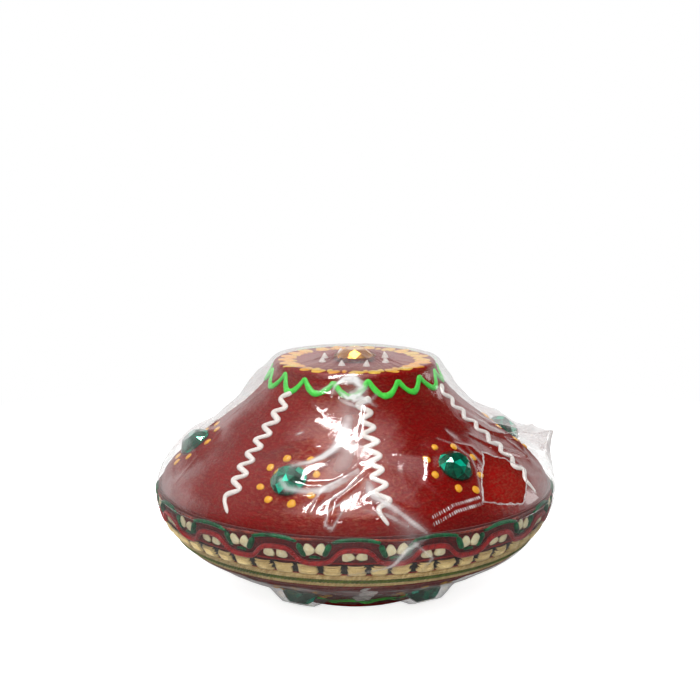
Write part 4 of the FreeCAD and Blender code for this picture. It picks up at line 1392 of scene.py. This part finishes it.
def build_object():
    """Every piece of the two bowls, their trim and their wrap."""
    lower, upper = Wall("lower_bowl", True), Wall("upper_bowl", False)
    clay = painted_clay()
    lime = raised_paint("lime_paint", rgb(0.07, 0.72, 0.06), rgb(0.05, 0.58, 0.05))
    white = raised_paint("white_paint", rgb(0.84, 0.80, 0.76), rgb(0.74, 0.68, 0.63))
    yellow = raised_paint("yellow_paint", rgb(0.86, 0.42, 0.015), rgb(0.78, 0.33, 0.01))
    # each stone's last colours: deep body, painted lit facet, painted flash
    green = acrylic("green_acrylic", rgb(0.0, 0.055, 0.03), rgb(0.0, 0.24, 0.13),
                    rgb(0.0, 0.95, 0.60), 0.55, 1.0)
    orange = acrylic("orange_acrylic", rgb(0.50, 0.17, 0.002), rgb(0.85, 0.38, 0.006),
                     rgb(1.0, 0.58, 0.04), 0.5, 0.0)
    gold = thread("gold_thread", rgb(1.0, 0.80, 0.38), rgb(0.42, 0.23, 0.06), 0.30)
    red = thread("red_thread", rgb(0.52, 0.016, 0.016), rgb(0.16, 0.003, 0.005), 0.36)
    leaf = thread("green_thread", rgb(0.004, 0.17, 0.055), rgb(0.001, 0.025, 0.010), 0.30)
    olive = thread("olive_thread", rgb(0.17, 0.24, 0.03), rgb(0.06, 0.10, 0.01), 0.45,
                   metallic=0.1)
    maroon = thread("maroon_thread", rgb(0.40, 0.06, 0.03), rgb(0.08, 0.008, 0.006), 0.50)
    black = thread("black_thread", rgb(0.03, 0.025, 0.02), rgb(0.008, 0.007, 0.006), 0.6)
    film = [clear_film("clear_film", True), clear_film("clear_film_inside", False)]

    disc_top = upper.outline[-1, 1]
    turned_bowl("lower_bowl_clay", lower, "lower_bowl", 0.0, clay, "base", 11)
    turned_bowl("upper_bowl_clay", upper, "upper_bowl", disc_top, clay, "cover", 21)

    upper_gems = group_spots("upper_green_gems", upper)
    lower_gems = group_spots("lower_green_gems", lower)
    stones("upper_green_stones", upper, "upper_green_gems", upper_gems, green, "cover", 31)
    stones("lower_green_stones", lower, "lower_green_gems", lower_gems, green, "base", 32)
    dot_rings("upper_dots", upper, "upper_yellow_dots", upper_gems, yellow, "cover", 33)
    dot_rings("lower_dots", lower, "lower_yellow_dots", lower_gems, yellow, "base", 34)
    zigzags("upper_zigzag_lines", upper, "upper_white_zigzags", UPPER_ZIGZAG_RUNS, UPPER_TAIL_RUN,
            UPPER_ZIGZAG_LEANS, white, "cover", 35)
    zigzags("lower_zigzag_lines", lower, "lower_white_zigzags", LOWER_ZIGZAG_RUNS, LOWER_TAIL_RUN,
            LOWER_ZIGZAG_LEANS, white, "base", 36)
    garland("upper_garland", upper, "upper_green_scallops", UPPER_SCALLOP_RUNS, lime, "cover", 37)
    garland("lower_garland", lower, "lower_green_scallops", LOWER_SCALLOP_RUNS, lime, "base", 38)

    petal_border(upper.outline[-1, 0] + 0.4, disc_top, petal_paint())
    paint_peaks(disc_top, white)
    gem_low, gem_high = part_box("top_orange_gem")
    foil_cup(disc_top, gem_high.x / MM, copper_foil())
    dice = np.random.default_rng(45)
    stone = brilliant(gem_high.x / MM, (gem_high.z - gem_low.z) / MM, gem_low.z / MM, dice)
    make_piece("orange_stone", [stone], [orange], "cover", "top_orange_gem", smooth=False)

    lace_tape(lower, ribbon(), red)
    lace_top_cord(lower, maroon)
    lace_arcs(lower, leaf)
    lace_wave(lower, red)
    lace_petals(lower, sequin())
    lace_leaves(lower, leaf)
    lace_blocks(lower, gold, black)
    lace_cords(lower, gold, olive, maroon)
    cotton_wick(cotton())

    upper_film(upper, upper_gems, film)
    seal_strip(upper, upper_gems, film[0])
    lower_film(lower, lower_gems, film)


# --- stage ----------------------------------------------------------------------

def softbox(name, place, target, width, depth, radiance):
    """A rectangular softbox of a given brightness, in metres."""
    light = bpy.data.lights.new(name, "AREA")
    light.shape = "RECTANGLE"
    light.size, light.size_y = width, depth
    light.energy = radiance * math.pi * width * depth
    item = bpy.data.objects.new(name, light)
    item.location = place
    item.rotation_mode = "QUATERNION"
    item.rotation_quaternion = (target - item.location).to_track_quat("-Z", "Y")
    bpy.context.scene.collection.objects.link(item)
    return item


def build_floor():
    """A plain pale floor, bright enough to meet the white backdrop."""
    floor = Material("pale_floor")
    mottle = floor.noise(60, detail=2)
    colour = floor.mix(floor.ramp(mottle, 0.3, 0.7), rgb(0.86, 0.86, 0.86), rgb(0.88, 0.88, 0.875))
    path = floor.add("ShaderNodeLightPath").outputs
    seen, mirrored = path["Is Camera Ray"], path["Is Glossy Ray"]
    spot = floor.add("ShaderNodeSeparateXYZ", {"Vector": floor.place}).outputs
    behind = floor.ramp(spot["Y"], 0.04, 0.30)
    unseen = floor.mix(mirrored, rgb(0.55, 0.55, 0.55), rgb(0.10, 0.10, 0.10))
    colour = floor.mix(seen, unseen, colour)
    diffuse = floor.add("ShaderNodeBsdfDiffuse", {"Color": colour}).outputs[0]
    strength = floor.math("MAXIMUM", floor.ramp(seen, 0, 1, 0.0, 0.75),
                          floor.math("MULTIPLY", behind, 0.85))
    glow = floor.add("ShaderNodeEmission", {"Color": rgb(1, 1, 1), "Strength": strength}).outputs[0]
    lit = floor.add("ShaderNodeAddShader", {0: diffuse, 1: glow}).outputs[0]
    strength = floor.math("MAXIMUM", floor.math("MAXIMUM", seen, behind),
                          floor.ramp(mirrored, 0, 1, 0.45, 0.12))
    glow = floor.add("ShaderNodeEmission", {"Color": rgb(1, 1, 1), "Strength": strength})
    backdrop = glow.outputs[0]
    reach = floor.add("ShaderNodeVectorMath", {0: floor.place}, operation="LENGTH").outputs["Value"]
    far = floor.ramp(reach, 0.10, 0.30)
    material = floor.output(floor.add("ShaderNodeMixShader", {0: far, 1: lit, 2: backdrop}).outputs[0])
    mesh = bpy.data.meshes.new("floor")
    work = bmesh.new()
    bmesh.ops.create_circle(work, cap_ends=True, radius=6.0, segments=128)
    work.to_mesh(mesh)
    work.free()
    mesh.materials.append(material)
    item = bpy.data.objects.new("floor", mesh)
    item.location.z = cad_box[0].z - 0.0002
    bpy.context.scene.collection.objects.link(item)


def build_world():
    """White to the camera. The object sees a dim room with a white backdrop behind it,
    a bright canopy overhead and a soft glow high on the left."""
    world = bpy.data.worlds.new("studio")
    bpy.context.scene.world = world
    world.use_nodes = True
    tree = world.node_tree
    tree.nodes.clear()

    def add(kind, inputs=None, **settings):
        return add_node(tree, kind, inputs, **settings)

    def fade(value, low, high, to_low, to_high):
        node = add("ShaderNodeMapRange", {"Value": value, "From Min": low, "From Max": high,
                                          "To Min": to_low, "To Max": to_high},
                   interpolation_type="SMOOTHSTEP")
        return node.outputs["Result"]

    def math_node(operation, a, b):
        return add("ShaderNodeMath", {0: a, 1: b}, operation=operation).outputs[0]

    def towards(direction, aim):
        """How closely a direction follows an aim, 1 when they are the same."""
        dot = add("ShaderNodeVectorMath", {0: direction, 1: aim}, operation="DOT_PRODUCT")
        return dot.outputs["Value"]

    direction = add("ShaderNodeTexCoord").outputs["Generated"]
    parts = add("ShaderNodeSeparateXYZ", {"Vector": direction})
    low_band = fade(parts.outputs["Z"], 0.28, 0.58, 1.0, 0.0)
    behind = fade(parts.outputs["Y"], -0.15, 0.45, 0.05, 1.0)
    strength = math_node("MULTIPLY", low_band, behind)
    high_left = towards(direction, (-0.62, 0.22, 0.75))
    glow = fade(high_left, 0.55, 1.0, 0.0, 0.28)
    overhead = towards(direction, (-0.10, -0.12, 0.99))
    canopy = fade(overhead, 0.86, 1.0, 0.0, 1.3)
    path = add("ShaderNodeLightPath")
    ambient = fade(path.outputs["Is Diffuse Ray"], 0.0, 1.0, 0.02, 0.40)
    for light in (glow, canopy, ambient):
        strength = math_node("ADD", strength, light)
    room = add("ShaderNodeBackground", {"Color": rgb(1, 1, 1), "Strength": strength})
    plain = add("ShaderNodeBackground", {"Color": rgb(1, 1, 1), "Strength": 1.0})
    mixed = add("ShaderNodeMixShader", {0: path.outputs["Is Camera Ray"], 1: room.outputs[0],
                                        2: plain.outputs[0]})
    add("ShaderNodeOutputWorld", {"Surface": mixed.outputs[0]})


CAMERA_PLACE = (-0.00134, -0.390, 0.1398)
CAMERA_LENS = 69.43
CAMERA_DIP = 10.1           # degrees below the horizon


def build_stage():
    """Floor, surroundings, four softboxes and the camera."""
    centre = (cad_box[0] + cad_box[1]) / 2
    build_floor()
    build_world()
    softbox("overhead_strip", (-0.085, -0.10, 0.70), centre, 0.07, 0.42, 34.0)
    fill = softbox("front_fill", (-0.10, -1.0, 0.42), centre, 0.75, 0.45, 4.5)
    fill.visible_glossy = False
    softbox("neck_box", (-0.10, -0.42, 0.42), centre, 0.08, 0.06, 14.0)
    softbox("right_rim", (0.65, 0.25, 0.25), centre, 0.12, 0.4, 2.5)

    camera = bpy.data.objects.new("camera", bpy.data.cameras.new("camera"))
    camera.data.sensor_width = 36.0
    camera.data.lens = CAMERA_LENS
    camera.location = CAMERA_PLACE
    camera.rotation_euler = (math.radians(90 - CAMERA_DIP), 0, 0)
    camera.data.clip_start, camera.data.clip_end = 0.01, 50
    bpy.context.scene.collection.objects.link(camera)
    bpy.context.scene.camera = camera
    bpy.context.scene.view_settings.view_transform = "Standard"
    bpy.context.scene.cycles.transparent_max_bounces = 24


build_object()
build_stage()
